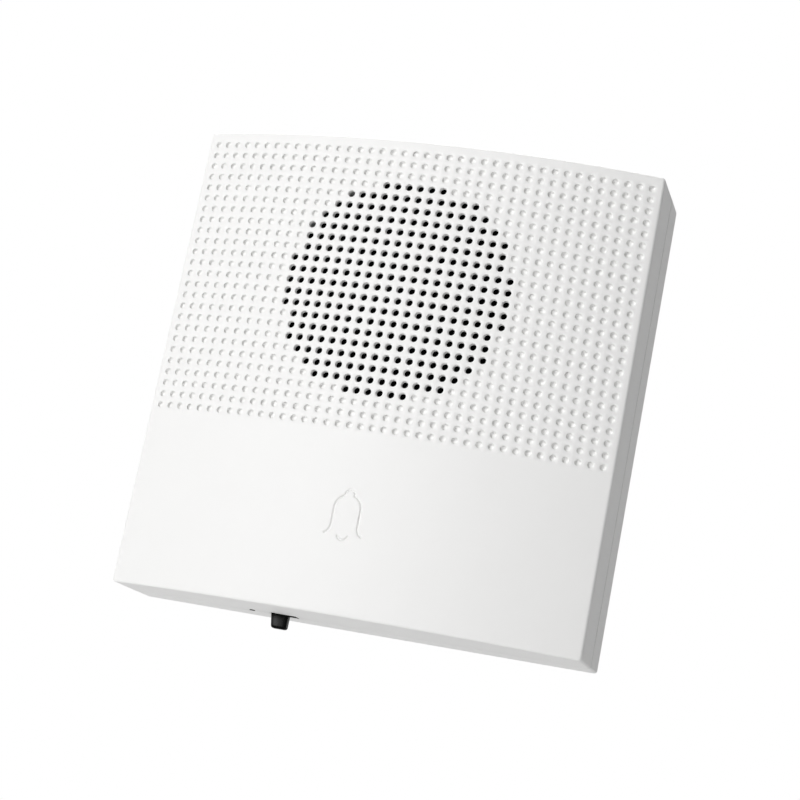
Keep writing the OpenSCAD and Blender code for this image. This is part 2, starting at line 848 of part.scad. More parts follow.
// Holes for the legs of everything that stands through the board
module leg_holes() {
    for (i = [0 : len(capacitor_at) - 1], side = [-1, 1])
        leg_hole(capacitor_at[i][0] + side * capacitor_leg_gap / 2, board_z + capacitor_at[i][1],
                 leg_d / 2);
    for (k = [-1 : 1])
        leg_hole(regulator_at[0] + k * regulator_leg_gap, board_z + regulator_at[1], leg_d / 2);
    for (side = [-1, 1]) {
        leg_hole(diode_at[0] + side * (diode_l / 2 + diode_leg_run), board_z + diode_at[1], leg_d / 2);
        leg_hole(led_x + side * led_leg_gap / 2, led_back_z + led_leg_run, leg_d / 2);
        leg_hole(header_at[0] + side * header_pin_gap / 2, board_z + header_at[1],
                 header_pin_w * sqrt(2) / 2);
    }
    for (k = [-1 : 1])
        leg_hole(switch_x + k * switch_pin_pitch, switch_pin_z, norm([switch_pin_w, switch_pin_t]) / 2);
    for (x = terminal_ways)
        leg_hole(x, terminal_z - pin_behind - bar_t / 2, norm([pin_w, bar_t]) / 2);
}

module circuit_board() {
    color("darkgreen") difference() {
        along_y(board_front_y, board_y) difference() {
            translate([-board_w / 2, board_z]) square([board_w, board_h]);
            leg_holes();
        }
        at_board_screws() bar_y(0, 0, board_front_y - over, board_y + over, small_screw_d / 2 + screw_fit);
    }
}

module board_screws() {
    color("silver") at_board_screws() translate([0, board_y, 0])
        screw(small_screw_d, small_screw_in + board_t, small_head_d, small_head_h);
}

module switch_shell() {
    inner = switch_w / 2 - switch_sheet;
    color("lightgray") difference() {
        block([switch_x - switch_w / 2, board_y, board_z],
              [switch_x + switch_w / 2, board_y + switch_h, switch_back_z]);
        block([switch_x - inner, board_y + switch_sheet, board_z + switch_sheet],
              [switch_x + inner, board_y + switch_h - switch_sheet, switch_back_z + over]);
        block([switch_x - slot_l / 2, slot_y - knob_t / 2 - slider_fit, board_z - over],
              [switch_x + slot_l / 2, slot_y + knob_t / 2 + slider_fit, board_z + switch_sheet + over]);
    }
}

module switch_base() {
    inner = switch_w / 2 - switch_sheet;
    color("saddlebrown")
        block([switch_x - inner, board_y + switch_sheet, switch_back_z - switch_base_t],
              [switch_x + inner, board_y + switch_h - switch_sheet, switch_back_z]);
}

module switch_pins() {
    color("silver") for (k = [-1 : 1])
        translate([switch_x + k * switch_pin_pitch, 0, 0]) {
            block([-switch_pin_w / 2, slot_y - switch_pin_t / 2, switch_back_z],
                  [switch_pin_w / 2, slot_y + switch_pin_t / 2, switch_pin_z + switch_pin_t / 2]);
            block([-switch_pin_w / 2, board_front_y - leg_out, switch_pin_z - switch_pin_t / 2],
                  [switch_pin_w / 2, slot_y, switch_pin_z + switch_pin_t / 2]);
        }
}

module switch_contact() {
    half_h = switch_h / 2 - switch_sheet - 2 * slider_fit;
    color("gold") block([knob_x - slider_w / 2 + slider_fit, slot_y - half_h, slider_back_z],
                        [knob_x + slider_w / 2 - slider_fit, slot_y + half_h, slider_back_z + contact_t]);
}

module switch_knob() {
    half_h = switch_h / 2 - switch_sheet - slider_fit;
    tip_z = bottom_z - knob_out;
    color("black") {
        block([knob_x - slider_w / 2, slot_y - half_h, slider_z],
              [knob_x + slider_w / 2, slot_y + half_h, slider_back_z]);
        along_y(slot_y - knob_t / 2, slot_y + knob_t / 2) {
            translate([knob_x - knob_w / 2, tip_z + knob_tip_r])
                square([knob_w, slider_back_z - tip_z - knob_tip_r]);
            translate([knob_x - knob_w / 2 + knob_tip_r, tip_z])
                square([knob_w - 2 * knob_tip_r, 2 * knob_tip_r]);
            for (side = [-1, 1])
                translate([knob_x + side * (knob_w / 2 - knob_tip_r), tip_z + knob_tip_r])
                    circle(r = knob_tip_r);
        }
    }
}

module indicator_led() {
    color("black") translate([led_x, slot_y, 0]) {
        translate([0, 0, led_tip_z + led_d / 2]) {
            sphere(d = led_d);
            cylinder(d = led_d, h = led_back_z - led_tip_z - led_d / 2);
        }
        translate([0, 0, led_back_z - led_rim_t]) cylinder(d = led_d + 2 * led_rim_w, h = led_rim_t);
        translate([0, 0, bottom_z + nose_fit])
            cylinder(d = pinhole_d - 2 * nose_fit, h = wall + led_nose + led_d / 4);
    }
}

module chip_body(at, length) {
    translate([at[0], 0, board_z + at[1]])
        block([-length / 2, board_y + chip_stand, -chip_w / 2], [length / 2, board_y + chip_h, chip_w / 2]);
}

// Leads of one chip: a foot on the board and a rise to the body
module leads_of(at, count) {
    rise = chip_h / 2 + chip_lead_t;
    for (k = [0 : count - 1], side = [-1, 1])
        translate([at[0] + (k - (count - 1) / 2) * lead_pitch, board_y, board_z + at[1]])
            mirror([0, 0, side > 0 ? 0 : 1]) {
                block([-chip_lead_w / 2, 0, chip_w / 2 + chip_lead_t],
                      [chip_lead_w / 2, chip_lead_t, chip_w / 2 + chip_lead_out]);
                block([-chip_lead_w / 2, 0, chip_w / 2 + chip_lead_t],
                      [chip_lead_w / 2, rise, chip_w / 2 + 2 * chip_lead_t]);
                block([-chip_lead_w / 2, rise - chip_lead_t, chip_w / 2],
                      [chip_lead_w / 2, rise, chip_w / 2 + 2 * chip_lead_t]);
            }
}

module sound_chip() {
    color("black") chip_body(sound_chip_at, chip_l);
}

module amplifier_chip() {
    color("black") chip_body(amplifier_at, amplifier_l);
}

module chip_leads() {
    color("silver") {
        leads_of(sound_chip_at, sound_chip_leads);
        leads_of(amplifier_at, amplifier_leads);
    }
}

// A round capacitor that stands on z = 0, with the groove of its crimp
module capacitor(d) {
    groove_h = 0.8;
    difference() {
        cylinder(d = d, h = capacitor_h);
        translate([0, 0, groove_h]) difference() {
            cylinder(d = d + over, h = groove_h);
            translate([0, 0, -over]) cylinder(d = d - 2 * capacitor_groove, h = groove_h + 2 * over);
        }
    }
}

module capacitors() {
    color("black") for (i = [0 : len(capacitor_at) - 1])
        translate([capacitor_at[i][0], board_y, board_z + capacitor_at[i][1]]) rotate([-90, 0, 0])
            capacitor(capacitor_d[i]);
}

module chip_part_row(at, count) {
    for (k = [0 : count - 1])
        translate([at[0] + k * chip_part_gap, board_y, board_z + at[1]])
            block([-chip_part_l / 2, 0, -chip_part_w / 2], [chip_part_l / 2, chip_part_h, chip_part_w / 2]);
}

module chip_resistors() {
    color("black") chip_part_row(resistor_row_at, resistor_count);
}

module chip_capacitors() {
    color("tan") chip_part_row(chip_capacitor_row_at, chip_capacitor_count);
}

module regulator() {
    half = regulator_d / 2;
    color("black") along_y(board_y + regulator_stand, board_y + regulator_stand + regulator_h)
        translate([regulator_at[0], board_z + regulator_at[1]]) difference() {
            circle(r = half);
            translate([-half, -half - regulator_flat]) square([regulator_d, 2 * regulator_flat]);
        }
}

module protection_diode() {
    color("black") translate([diode_at[0] - diode_l / 2, diode_y, board_z + diode_at[1]])
        rotate([0, 90, 0]) cylinder(d = diode_d, h = diode_l);
}

// A bent leg: a round run that ends in a round drop through the board
module drop_leg(x, z, from_y) {
    bar_y(x, z, board_front_y - leg_out, from_y, leg_d / 2);
}

module component_legs() {
    color("silver") {
        for (i = [0 : len(capacitor_at) - 1], side = [-1, 1])
            drop_leg(capacitor_at[i][0] + side * capacitor_leg_gap / 2, board_z + capacitor_at[i][1],
                     board_y);
        for (k = [-1 : 1])
            drop_leg(regulator_at[0] + k * regulator_leg_gap, board_z + regulator_at[1],
                     board_y + regulator_stand);
        for (side = [-1, 1]) {
            translate([diode_at[0], diode_y, board_z + diode_at[1]]) rotate([0, side * 90, 0])
                translate([0, 0, diode_l / 2]) cylinder(d = leg_d, h = diode_leg_run + leg_d / 2);
            drop_leg(diode_at[0] + side * (diode_l / 2 + diode_leg_run), board_z + diode_at[1], diode_y);
            translate([led_x + side * led_leg_gap / 2, slot_y, led_back_z])
                cylinder(d = leg_d, h = led_leg_run + leg_d / 2);
            drop_leg(led_x + side * led_leg_gap / 2, led_back_z + led_leg_run, slot_y);
        }
    }
}

module speaker_header() {
    color("ivory") translate([header_at[0], board_y, board_z + header_at[1]]) difference() {
        block([-header_size[0] / 2, 0, -header_size[2] / 2],
              [header_size[0] / 2, header_size[1], header_size[2] / 2]);
        block([header_wall - header_size[0] / 2, header_wall, header_wall - header_size[2] / 2],
              [header_size[0] / 2 - header_wall, header_size[1] + over, header_size[2] / 2 - header_wall]);
        for (side = [-1, 1])
            translate([side * header_pin_gap / 2, 0, 0])
                block([-header_pin_w / 2, -over, -header_pin_w / 2],
                      [header_pin_w / 2, header_wall + over, header_pin_w / 2]);
    }
}

module header_pins() {
    color("gold") for (side = [-1, 1])
        translate([header_at[0] + side * header_pin_gap / 2, 0, board_z + header_at[1]])
            block([-header_pin_w / 2, board_front_y - leg_out, -header_pin_w / 2],
                  [header_pin_w / 2, board_y + header_pin_h, header_pin_w / 2]);
}

module speaker_plug() {
    half_w = header_size[0] / 2 - header_wall - plug_fit;
    half_l = header_size[2] / 2 - header_wall - plug_fit;
    socket = header_pin_w / 2 + leg_fit;
    color("ivory") translate([header_at[0], board_y, board_z + header_at[1]]) difference() {
        block([-half_w, header_wall + plug_fit, -half_l], [half_w, plug_h, half_l]);
        for (side = [-1, 1])
            translate([side * header_pin_gap / 2, 0, 0])
                block([-socket, 0, -socket], [socket, header_pin_h + leg_fit, socket]);
    }
}

// A point on the smooth curve through a route, between point i and the next
function curve_point(route, i, t) =
    let (
        a = route[max(i - 1, 0)],
        b = route[i],
        c = route[i + 1],
        d = route[min(i + 2, len(route) - 1)]
    )
    b + t * (c - a) / 2 + t * t * (a - 2.5 * b + 2 * c - d / 2)
    + t * t * t * (1.5 * b - a / 2 - 1.5 * c + d / 2);

// A route with its bends smoothed and its first and last stretch left straight
function smooth(route) = concat(
    [route[0]],
    [for (i = [1 : len(route) - 3], k = [0 : lead_steps - 1]) curve_point(route, i, k / lead_steps)],
    [route[len(route) - 2], route[len(route) - 1]]
);

// A round tube along a path that never runs along X, its end faces square to its end runs
module tube(path, d, sides) {
    last = len(path) - 1;
    function direction(i) = path[min(i + 1, last)] - path[max(i - 1, 0)];
    function across(i) = let (v = cross(direction(i), [1, 0, 0])) v / norm(v);
    function beside(i) = let (v = cross(across(i), direction(i))) v / norm(v);
    points = [for (i = [0 : last], k = [0 : sides - 1])
        path[i] + d / 2 * (cos(360 * k / sides) * across(i) + sin(360 * k / sides) * beside(i))];
    walls = [for (i = [0 : last - 1], k = [0 : sides - 1], half = [0, 1])
        let (n = (k + 1) % sides, here = i * sides, next = here + sides)
        half == 0 ? [here + k, next + k, next + n] : [here + k, next + n, here + n]];
    ends = [for (k = [1 : sides - 2], end = [0, 1])
        let (first = end * last * sides)
        end == 0 ? [first, first + k, first + k + 1] : [first, first + k + 1, first + k]];
    polyhedron(points, concat(walls, ends));
}

module speaker_lead_red() {
    color("red") tube(smooth(lead_route(1)), speaker_lead_d, lead_sides);
}

module speaker_lead_black() {
    color("black") tube(smooth(lead_route(-1)), speaker_lead_d, lead_sides);
}

// Moves its children to one terminal, with y counted up from the board
module at_terminal(x) {
    translate([x, board_y, terminal_z]) children();
}

module terminal_housing() {
    pocket_w = clamp_w / 2 + clamp_fit;
    pocket_back = pin_behind + bar_t + clamp_fit;
    entry_low = clamp_low + clamp_t;
    entry_high = bar_top - bar_t;
    color("forestgreen") difference() {
        block([terminal_x - terminal_w / 2, board_y, terminal_z - terminal_l / 2],
              [terminal_x + terminal_w / 2, board_y + terminal_h, terminal_z + terminal_l / 2]);
        for (x = terminal_ways)
            at_terminal(x) {
                block([-pocket_w, terminal_floor, -pocket_back],
                      [pocket_w, pocket_top, clamp_w / 2 + clamp_fit]);
                block([-wire_entry_w / 2, entry_low, 0],
                      [wire_entry_w / 2, entry_high, terminal_l / 2 + over]);
                bar_y(0, 0, pocket_top - over, terminal_h + over, terminal_screw_d / 2 + 2 * screw_fit);
                bar_y(0, 0, pocket_top + shoulder_t, terminal_h + over,
                      terminal_head_d / 2 + 2 * screw_fit);
                block([-pin_w / 2 - leg_fit, -over, -pin_behind - bar_t - leg_fit],
                      [pin_w / 2 + leg_fit, terminal_floor + over, -pin_behind + leg_fit]);
            }
    }
}

module terminal_pins() {
    color("silver") for (x = terminal_ways)
        at_terminal(x) {
            block([-bar_w / 2, bar_top - bar_t, -pin_behind - bar_t], [bar_w / 2, bar_top, clamp_w / 2]);
            block([-pin_w / 2, -board_t - leg_out, -pin_behind - bar_t], [pin_w / 2, bar_top, -pin_behind]);
        }
}

module terminal_screw(k) {
    slot_w = 0.6;
    slot_depth = 0.7;
    color("silver") at_terminal(terminal_ways[k - 1]) difference() {
        union() {
            bar_y(0, 0, bar_top + screw_fit, head_low + over / 2, terminal_screw_d / 2);
            bar_y(0, 0, head_low, head_low + terminal_head_h, terminal_head_d / 2);
        }
        block([-terminal_head_d, head_low + terminal_head_h - slot_depth, -slot_w / 2],
              [terminal_head_d, head_low + terminal_head_h + over, slot_w / 2]);
    }
}

module wire_clamp(k) {
    half = clamp_w / 2;
    color("gold") at_terminal(terminal_ways[k - 1]) difference() {
        block([-half, clamp_low, -half], [half, clamp_low + clamp_h, half]);
        block([-half + clamp_t, clamp_low + clamp_t, -half - over],
              [half - clamp_t, clamp_low + clamp_h - clamp_top_t, half + over]);
        bar_y(0, 0, clamp_low + clamp_h - clamp_top_t - over, clamp_low + clamp_h + over,
              terminal_screw_d / 2 + screw_fit);
    }
}

front_cover();
rear_case();
slot_strip();
case_screws();
dust_cloth();
speaker_gasket();
surround();
cone();
dust_cap();
coil_former();
coil_winding();
spider();
speaker_basket();
top_plate();
magnet();
yoke();
tag_strip();
solder_tags();
speaker_washers();
speaker_screws();
circuit_board();
board_screws();
switch_shell();
switch_base();
switch_pins();
switch_contact();
switch_knob();
indicator_led();
sound_chip();
amplifier_chip();
chip_leads();
capacitors();
chip_resistors();
chip_capacitors();
regulator();
protection_diode();
component_legs();
speaker_header();
header_pins();
speaker_plug();
speaker_lead_red();
speaker_lead_black();
terminal_housing();
terminal_pins();
for (k = [1 : terminal_count]) {
    terminal_screw(k);
    wire_clamp(k);
}
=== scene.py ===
import json
import math

import bmesh
import bpy
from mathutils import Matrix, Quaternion, Vector
from mathutils.geometry import tessellate_polygon
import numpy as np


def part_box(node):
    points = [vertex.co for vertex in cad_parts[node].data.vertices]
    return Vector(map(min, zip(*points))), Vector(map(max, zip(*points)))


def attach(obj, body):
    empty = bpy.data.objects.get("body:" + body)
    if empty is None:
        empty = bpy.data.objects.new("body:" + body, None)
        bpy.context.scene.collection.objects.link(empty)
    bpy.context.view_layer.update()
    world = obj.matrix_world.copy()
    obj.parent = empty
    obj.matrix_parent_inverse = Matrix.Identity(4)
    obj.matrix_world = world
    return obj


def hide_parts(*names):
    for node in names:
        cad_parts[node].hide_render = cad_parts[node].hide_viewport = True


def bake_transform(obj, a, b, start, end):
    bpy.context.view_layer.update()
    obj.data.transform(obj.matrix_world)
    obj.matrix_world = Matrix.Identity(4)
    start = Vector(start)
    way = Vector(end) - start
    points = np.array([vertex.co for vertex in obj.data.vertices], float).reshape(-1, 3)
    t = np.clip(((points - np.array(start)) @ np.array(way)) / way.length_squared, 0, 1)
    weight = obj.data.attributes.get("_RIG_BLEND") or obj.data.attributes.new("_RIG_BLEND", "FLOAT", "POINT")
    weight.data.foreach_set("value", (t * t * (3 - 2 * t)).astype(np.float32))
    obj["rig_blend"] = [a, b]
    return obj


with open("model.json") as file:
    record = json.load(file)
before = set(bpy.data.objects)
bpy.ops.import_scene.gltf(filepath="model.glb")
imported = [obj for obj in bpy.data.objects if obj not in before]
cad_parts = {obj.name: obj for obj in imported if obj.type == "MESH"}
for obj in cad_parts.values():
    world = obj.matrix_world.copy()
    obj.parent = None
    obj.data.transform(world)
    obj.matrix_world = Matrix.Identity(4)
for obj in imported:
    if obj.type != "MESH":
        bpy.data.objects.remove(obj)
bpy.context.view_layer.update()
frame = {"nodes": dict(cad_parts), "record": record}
mm = 0.001  # every size below is in millimetres


def newObject(name, data):
    made = bpy.data.objects.new(name, data)
    bpy.context.scene.collection.objects.link(made)
    return made


# Camera at the photo's viewing angle

photoView = {
    "place": (103.96, -355.51, -76.37),
    "aim": (4.37, -22.0, -3.89),
    "roll": 11.30,  # degrees anticlockwise
    "focal": 1947.08,  # pixels
    "picture": 800,  # pixels
    "sensor": 36,
    "near": 10,  # nothing closer is drawn
}


def setCamera(look):
    lens = bpy.data.cameras.new("photo view")
    lens.sensor_width = look["sensor"]
    lens.lens = look["focal"] * look["sensor"] / look["picture"]
    lens.clip_start = look["near"] * mm
    camera = newObject("photo view", lens)
    place = Vector(look["place"]) * mm
    towards = Vector(look["aim"]) * mm - place
    camera.location = place
    camera.rotation_mode = "QUATERNION"
    roll = Quaternion((0, 0, 1), math.radians(look["roll"]))
    camera.rotation_quaternion = towards.to_track_quat("-Z", "Y") @ roll
    bpy.context.scene.camera = camera


setCamera(photoView)
print("camera set")


# Mesh helpers

def evenly(start, end, steps):
    return [start + (end - start) * k / steps for k in range(steps + 1)]


def distinct(loop):
    # without the points that repeat the one before
    return [p for i, p in enumerate(loop) if p != loop[i - 1]]


def arc(start, sweep, steps):
    # directions along an arc from its start to its end, in degrees
    angles = [math.radians(a) for a in evenly(start, start + sweep, steps)]
    return [(math.cos(a), math.sin(a)) for a in angles]


def around(steps, start=0):
    return arc(start, 360, steps)[:-1]


class Net:
    # points and faces of one piece; points that coincide are shared

    digits = 4  # decimals that agree where points coincide

    def __init__(self):
        self.points = []
        self.faces = []
        self.known = {}

    def at(self, x, y, z):
        key = tuple(round(part, self.digits) for part in (x, y, z))
        if key not in self.known:
            self.known[key] = len(self.points)
            self.points.append((x * mm, y * mm, z * mm))
        return self.known[key]

    def face(self, corners):
        loop = distinct(corners)
        if len(set(loop)) > 2:
            self.faces.append(loop)

    def strip(self, first, second, leave=(), closed=True):
        # quads between two loops of equal count, without those that start at an index in leave
        count = len(first)
        for i in range(count if closed else count - 1):
            j = (i + 1) % count
            if i not in leave:
                self.face([first[i], first[j], second[j], second[i]])

    def skin(self, loops, closed=True):
        for first, second in zip(loops, loops[1:]):
            self.strip(first, second, closed=closed)

    def lace(self, outer, inner, axes, middle):
        # triangles between two loops of any count around one middle
        def angle(i):
            across = self.points[i][axes[0]] - middle[0] * mm
            along = self.points[i][axes[1]] - middle[1] * mm
            return math.atan2(along, across)
        steps = sorted([(angle(i), 0, i) for i in set(outer)] + [(angle(i), 1, i) for i in set(inner)])
        last = [[i for _, side, i in steps if side == s][-1] for s in (0, 1)]
        for _, side, i in steps:
            self.face([last[0], last[1], i])
            last[side] = i

    def fill(self, loops):
        # a flat face inside the first loop, with the other loops as its holes
        loops = [distinct(loop) for loop in loops]
        flat = [i for loop in loops for i in loop]
        outlines = [[Vector(self.points[i]) for i in loop] for loop in loops]
        for corners in tessellate_polygon(outlines):
            self.face([flat[c] for c in corners])

    def loop(self, x, z, turns, radius, depth):
        # points around a middle; depth is one y or a function of x
        made = []
        for across, up in turns:
            px = x + radius * across
            made.append(self.at(px, depth(px) if callable(depth) else depth, z + radius * up))
        return made

    def turn(self, x, z, profile, steps):
        # a closed profile of radius and y, turned about an axis along y
        loops = [self.loop(x, z, around(steps), radius, depth) for radius, depth in profile]
        self.skin(loops + loops[:1])

    def build(self, name, sharpFrom=50):
        mesh = bpy.data.meshes.new(name)
        mesh.from_pydata(self.points, [], self.faces)
        work = bmesh.new()
        work.from_mesh(mesh)
        bmesh.ops.recalc_face_normals(work, faces=work.faces)
        work.to_mesh(mesh)
        work.free()
        mesh.shade_smooth()
        mesh.set_sharp_from_angle(angle=math.radians(sharpFrom))
        piece = newObject(name, mesh)
        piece.modifiers.new("even shading", "WEIGHTED_NORMAL").keep_sharp = True
        return piece


class Outline:
    # a rounded rectangle seen from the front, which can be pushed out or in as parallel lines

    cornerSteps = 4
    sharpest = 0.05  # least radius of a corner that is pushed in

    def __init__(self, halfWide, halfHigh, rounding, xs, zs, middle=(0, 0)):
        self.middle = middle
        self.halfWide = halfWide
        self.halfHigh = halfHigh
        self.rounding = rounding
        self.marks = []  # where a point is held, and its direction outwards
        far = 1e6
        self.marks += [(x, -far, 0, -1) for x in xs]
        self.corner(far, -far, -90)
        self.marks += [(far, z, 1, 0) for z in zs]
        self.corner(far, far, 0)
        self.marks += [(x, far, 0, 1) for x in reversed(xs)]
        self.corner(-far, far, 90)
        self.marks += [(-far, z, -1, 0) for z in reversed(zs)]
        self.corner(-far, -far, 180)

    def corner(self, x, z, start):
        self.marks += [(x, z, outX, outZ) for outX, outZ in arc(start, 90, self.cornerSteps)]

    def ring(self, net, push, depth):
        # depth is one y, a list of them, or a function of x
        radius = max(self.rounding + push, self.sharpest)
        wide = self.halfWide + push - radius
        high = self.halfHigh + push - radius
        loop = []
        for i, (x, z, outX, outZ) in enumerate(self.marks):
            px = self.middle[0] + max(-wide, min(wide, x)) + radius * outX
            pz = self.middle[1] + max(-high, min(high, z)) + radius * outZ
            py = depth(px) if callable(depth) else depth[i] if isinstance(depth, list) else depth
            loop.append(net.at(px, py, pz))
        return loop


def boxOf(node):
    low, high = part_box(node)
    return low / mm, high / mm


def middleOf(node):
    return [(low + high) / 2 for low, high in zip(*boxOf(node))]


def roundedSteps(count):
    # shares of a quarter round: how far out, how far along
    return [(up, 1 - across) for across, up in arc(0, 90, count)]


# Shader helpers

class Wire:
    # one socket of a node tree; sums on it add Math nodes

    def __init__(self, sheet, socket):
        self.sheet = sheet
        self.socket = socket

    def sum(self, operation, first, second):
        return self.sheet.node("ShaderNodeMath", {"operation": operation}, {0: first, 1: second})

    def __add__(self, other):
        return self.sum("ADD", self, other)

    def __radd__(self, other):
        return self.sum("ADD", other, self)

    def __sub__(self, other):
        return self.sum("SUBTRACT", self, other)

    def __rsub__(self, other):
        return self.sum("SUBTRACT", other, self)

    def __mul__(self, other):
        return self.sum("MULTIPLY", self, other)

    def __rmul__(self, other):
        return self.sum("MULTIPLY", other, self)

    def __gt__(self, other):
        return self.sum("GREATER_THAN", self, other)


class NodeSheet:
    # the node tree of one finish

    def __init__(self, tree):
        self.tree = tree
        tree.nodes.clear()

    def node(self, kind, settings=None, sockets=None, output=0):
        made = self.tree.nodes.new(kind)
        for name, value in (settings or {}).items():
            setattr(made, name, value)
        for name, value in (sockets or {}).items():
            if isinstance(value, Wire):
                self.tree.links.new(value.socket, made.inputs[name])
            else:
                made.inputs[name].default_value = value
        return Wire(self, made.outputs[output]) if made.outputs else None

    def place(self, stretch=(1, 1, 1)):
        spot = self.node("ShaderNodeTexCoord", output="Object")
        return self.node("ShaderNodeVectorMath", {"operation": "MULTIPLY"}, {0: spot, 1: stretch})

    def noise(self, place, size, detail=2):
        sockets = {"Vector": place, "Scale": 1 / (size * mm), "Detail": detail}
        return self.node("ShaderNodeTexNoise", None, sockets)

    def wave(self, place, size, direction):
        # a thread of this size is half a wave
        ownScale = 20  # of the node
        sockets = {"Vector": place, "Scale": 1 / (size * mm) / ownScale * math.pi}
        return self.node("ShaderNodeTexWave", {"bands_direction": direction}, sockets)

    def blend(self, factor, first, second):
        return self.node("ShaderNodeMix", {"data_type": "RGBA"}, {0: factor, 6: first, 7: second}, 2)

    def bump(self, height, depth):
        return self.node("ShaderNodeBump", None, {"Height": height, "Distance": depth * mm})

    def ray(self, kind):
        return self.node("ShaderNodeLightPath", output="Is %s Ray" % kind)

    def close(self, sockets):
        shader = self.node("ShaderNodeBsdfPrincipled", None, sockets)
        self.node("ShaderNodeOutputMaterial", None, {"Surface": shader})


noiseMiddle = 0.5  # value around which a noise lies


def shade(colour, level=1.0):
    return tuple(min(1.0, part * level) for part in colour) + (1.0,)


def newFinish(name):
    material = bpy.data.materials.new(name)
    material.use_nodes = True
    return material, NodeSheet(material.node_tree)


# Finishes, one for each material slot of the record

usualMoulding = {"mottle": 0.06, "cloud": 2, "grain": 0.12, "height": 0.004, "roughness": 0.50,
                 "spread": 0.10, "shine": 0.5}
mouldings = {  # what is not as usual
    "cover_white": {"colour": (0.872, 0.870, 0.862), "mottle": 0.008, "cloud": 9, "roughness": 0.52},
    # painted light: the cover's white, set a little lighter for the light that falls on the rear part
    "case_white": {"colour": (0.880, 0.878, 0.870), "mottle": 0.008, "cloud": 9, "roughness": 0.52},
    "knob_black": {"colour": (0.0015, 0.0015, 0.0015), "mottle": 0.15, "cloud": 1.5, "grain": 0.10,
                   "height": 0.001, "roughness": 0.16, "spread": 0.06, "shine": 0.06},
    "lens_smoked": {"colour": (0.010, 0.009, 0.009), "mottle": 0.08, "cloud": 0.8, "grain": 0.15,
                    "height": 0.002, "roughness": 0.40, "spread": 0.06, "shine": 0.0},
    "chip_black": {"colour": (0.030, 0.030, 0.032), "mottle": 0.12, "cloud": 0.9, "grain": 0.05,
                   "height": 0.006, "roughness": 0.62, "spread": 0.14},
    "sleeve_black": {"colour": (0.022, 0.023, 0.034), "mottle": 0.10, "cloud": 2.5, "grain": 0.4,
                     "roughness": 0.26, "spread": 0.08},
    "nylon_ivory": {"colour": (0.760, 0.735, 0.640), "mottle": 0.02, "cloud": 3, "grain": 0.15,
                    "roughness": 0.46},
    "terminal_green": {"colour": (0.035, 0.270, 0.120), "mottle": 0.05, "cloud": 3, "height": 0.005,
                       "roughness": 0.48, "spread": 0.12},
    "lead_red": {"colour": (0.480, 0.022, 0.016), "mottle": 0.04, "grain": 0.3, "height": 0.003,
                 "roughness": 0.34, "spread": 0.08},
    "lead_black": {"colour": (0.020, 0.020, 0.021), "grain": 0.3, "height": 0.003, "roughness": 0.34,
                   "spread": 0.08},
    "black_rubber": {"colour": (0.024, 0.024, 0.025), "mottle": 0.12, "cloud": 1.2, "grain": 0.08,
                     "height": 0.006, "roughness": 0.66, "spread": 0.12},
    "brown_film": {"colour": (0.360, 0.170, 0.050), "grain": 0.2, "height": 0.002, "roughness": 0.30,
                   "spread": 0.08},
    "chip_tan": {"colour": (0.520, 0.370, 0.230), "mottle": 0.08, "cloud": 0.5, "grain": 0.06,
                 "spread": 0.12},
    "ferrite": {"colour": (0.060, 0.060, 0.064), "mottle": 0.30, "cloud": 0.25, "grain": 0.08,
                "height": 0.012, "roughness": 0.58, "spread": 0.20},
}


def drawMoulding(sheet, own):
    look = {**usualMoulding, **own}
    place = sheet.place()
    grain = sheet.noise(place, look["grain"], detail=3)
    cloud = sheet.noise(place, look["cloud"])
    dark, light = [shade(look["colour"], 1 + side * look["mottle"]) for side in (-1, 1)]
    rough = look["roughness"] + look["spread"] * (grain - noiseMiddle)
    sheet.close({"Base Color": sheet.blend(cloud, dark, light), "Roughness": rough,
                 "Specular IOR Level": look["shine"], "Normal": sheet.bump(grain, look["height"])})


tarnishSize = 1.4
metals = {
    "zinc_steel": {"colour": (0.62, 0.62, 0.60), "stain": (0.46, 0.46, 0.45), "stretch": (1, 1, 0.12),
                   "streak": 0.10, "height": 0.004, "roughness": 0.34, "spread": 0.20},
    "tinned": {"colour": (0.72, 0.72, 0.69), "stain": (0.58, 0.58, 0.56), "stretch": (1, 0.3, 1),
               "streak": 0.12, "height": 0.003, "roughness": 0.28, "spread": 0.16},
    "brass_part": {"colour": (0.72, 0.53, 0.24), "stain": (0.55, 0.38, 0.16), "stretch": (0.2, 1, 1),
                   "streak": 0.10, "height": 0.003, "roughness": 0.30, "spread": 0.18},
    "copper_wire": {"colour": (0.66, 0.29, 0.13), "stain": (0.46, 0.17, 0.07), "stretch": (0.1, 1, 0.1),
                    "streak": 0.08, "height": 0.010, "roughness": 0.30, "spread": 0.14},
}


def drawMetal(sheet, look):
    streaks = sheet.noise(sheet.place(look["stretch"]), look["streak"], detail=3)
    tarnish = sheet.noise(sheet.place(), tarnishSize, detail=3)
    colour = sheet.blend(tarnish, shade(look["colour"]), shade(look["stain"]))
    rough = look["roughness"] + look["spread"] * (streaks * tarnish - noiseMiddle ** 2)
    sheet.close({"Base Color": colour, "Metallic": 1.0, "Roughness": rough,
                 "Normal": sheet.bump(streaks, look["height"])})


weave = {
    "shades": (0.55, 1.15),  # painted shade between the threads, and the threads' own tone on them
    "fuzz": 0.15,
    "fuzzGloss": 0.1,  # how much smoother the fuzz is
    "fuzzHeight": 0.5,  # as a share of a thread's
}
cloths = {
    "black_felt": {"colour": (0.003, 0.003, 0.003), "thread": 0.35, "height": 0.03, "roughness": 0.95,
                   "shine": 0.03},
    "spider_cloth": {"colour": (0.560, 0.380, 0.130), "thread": 0.30, "height": 0.03, "roughness": 0.85,
                     "shine": 0.3},
}


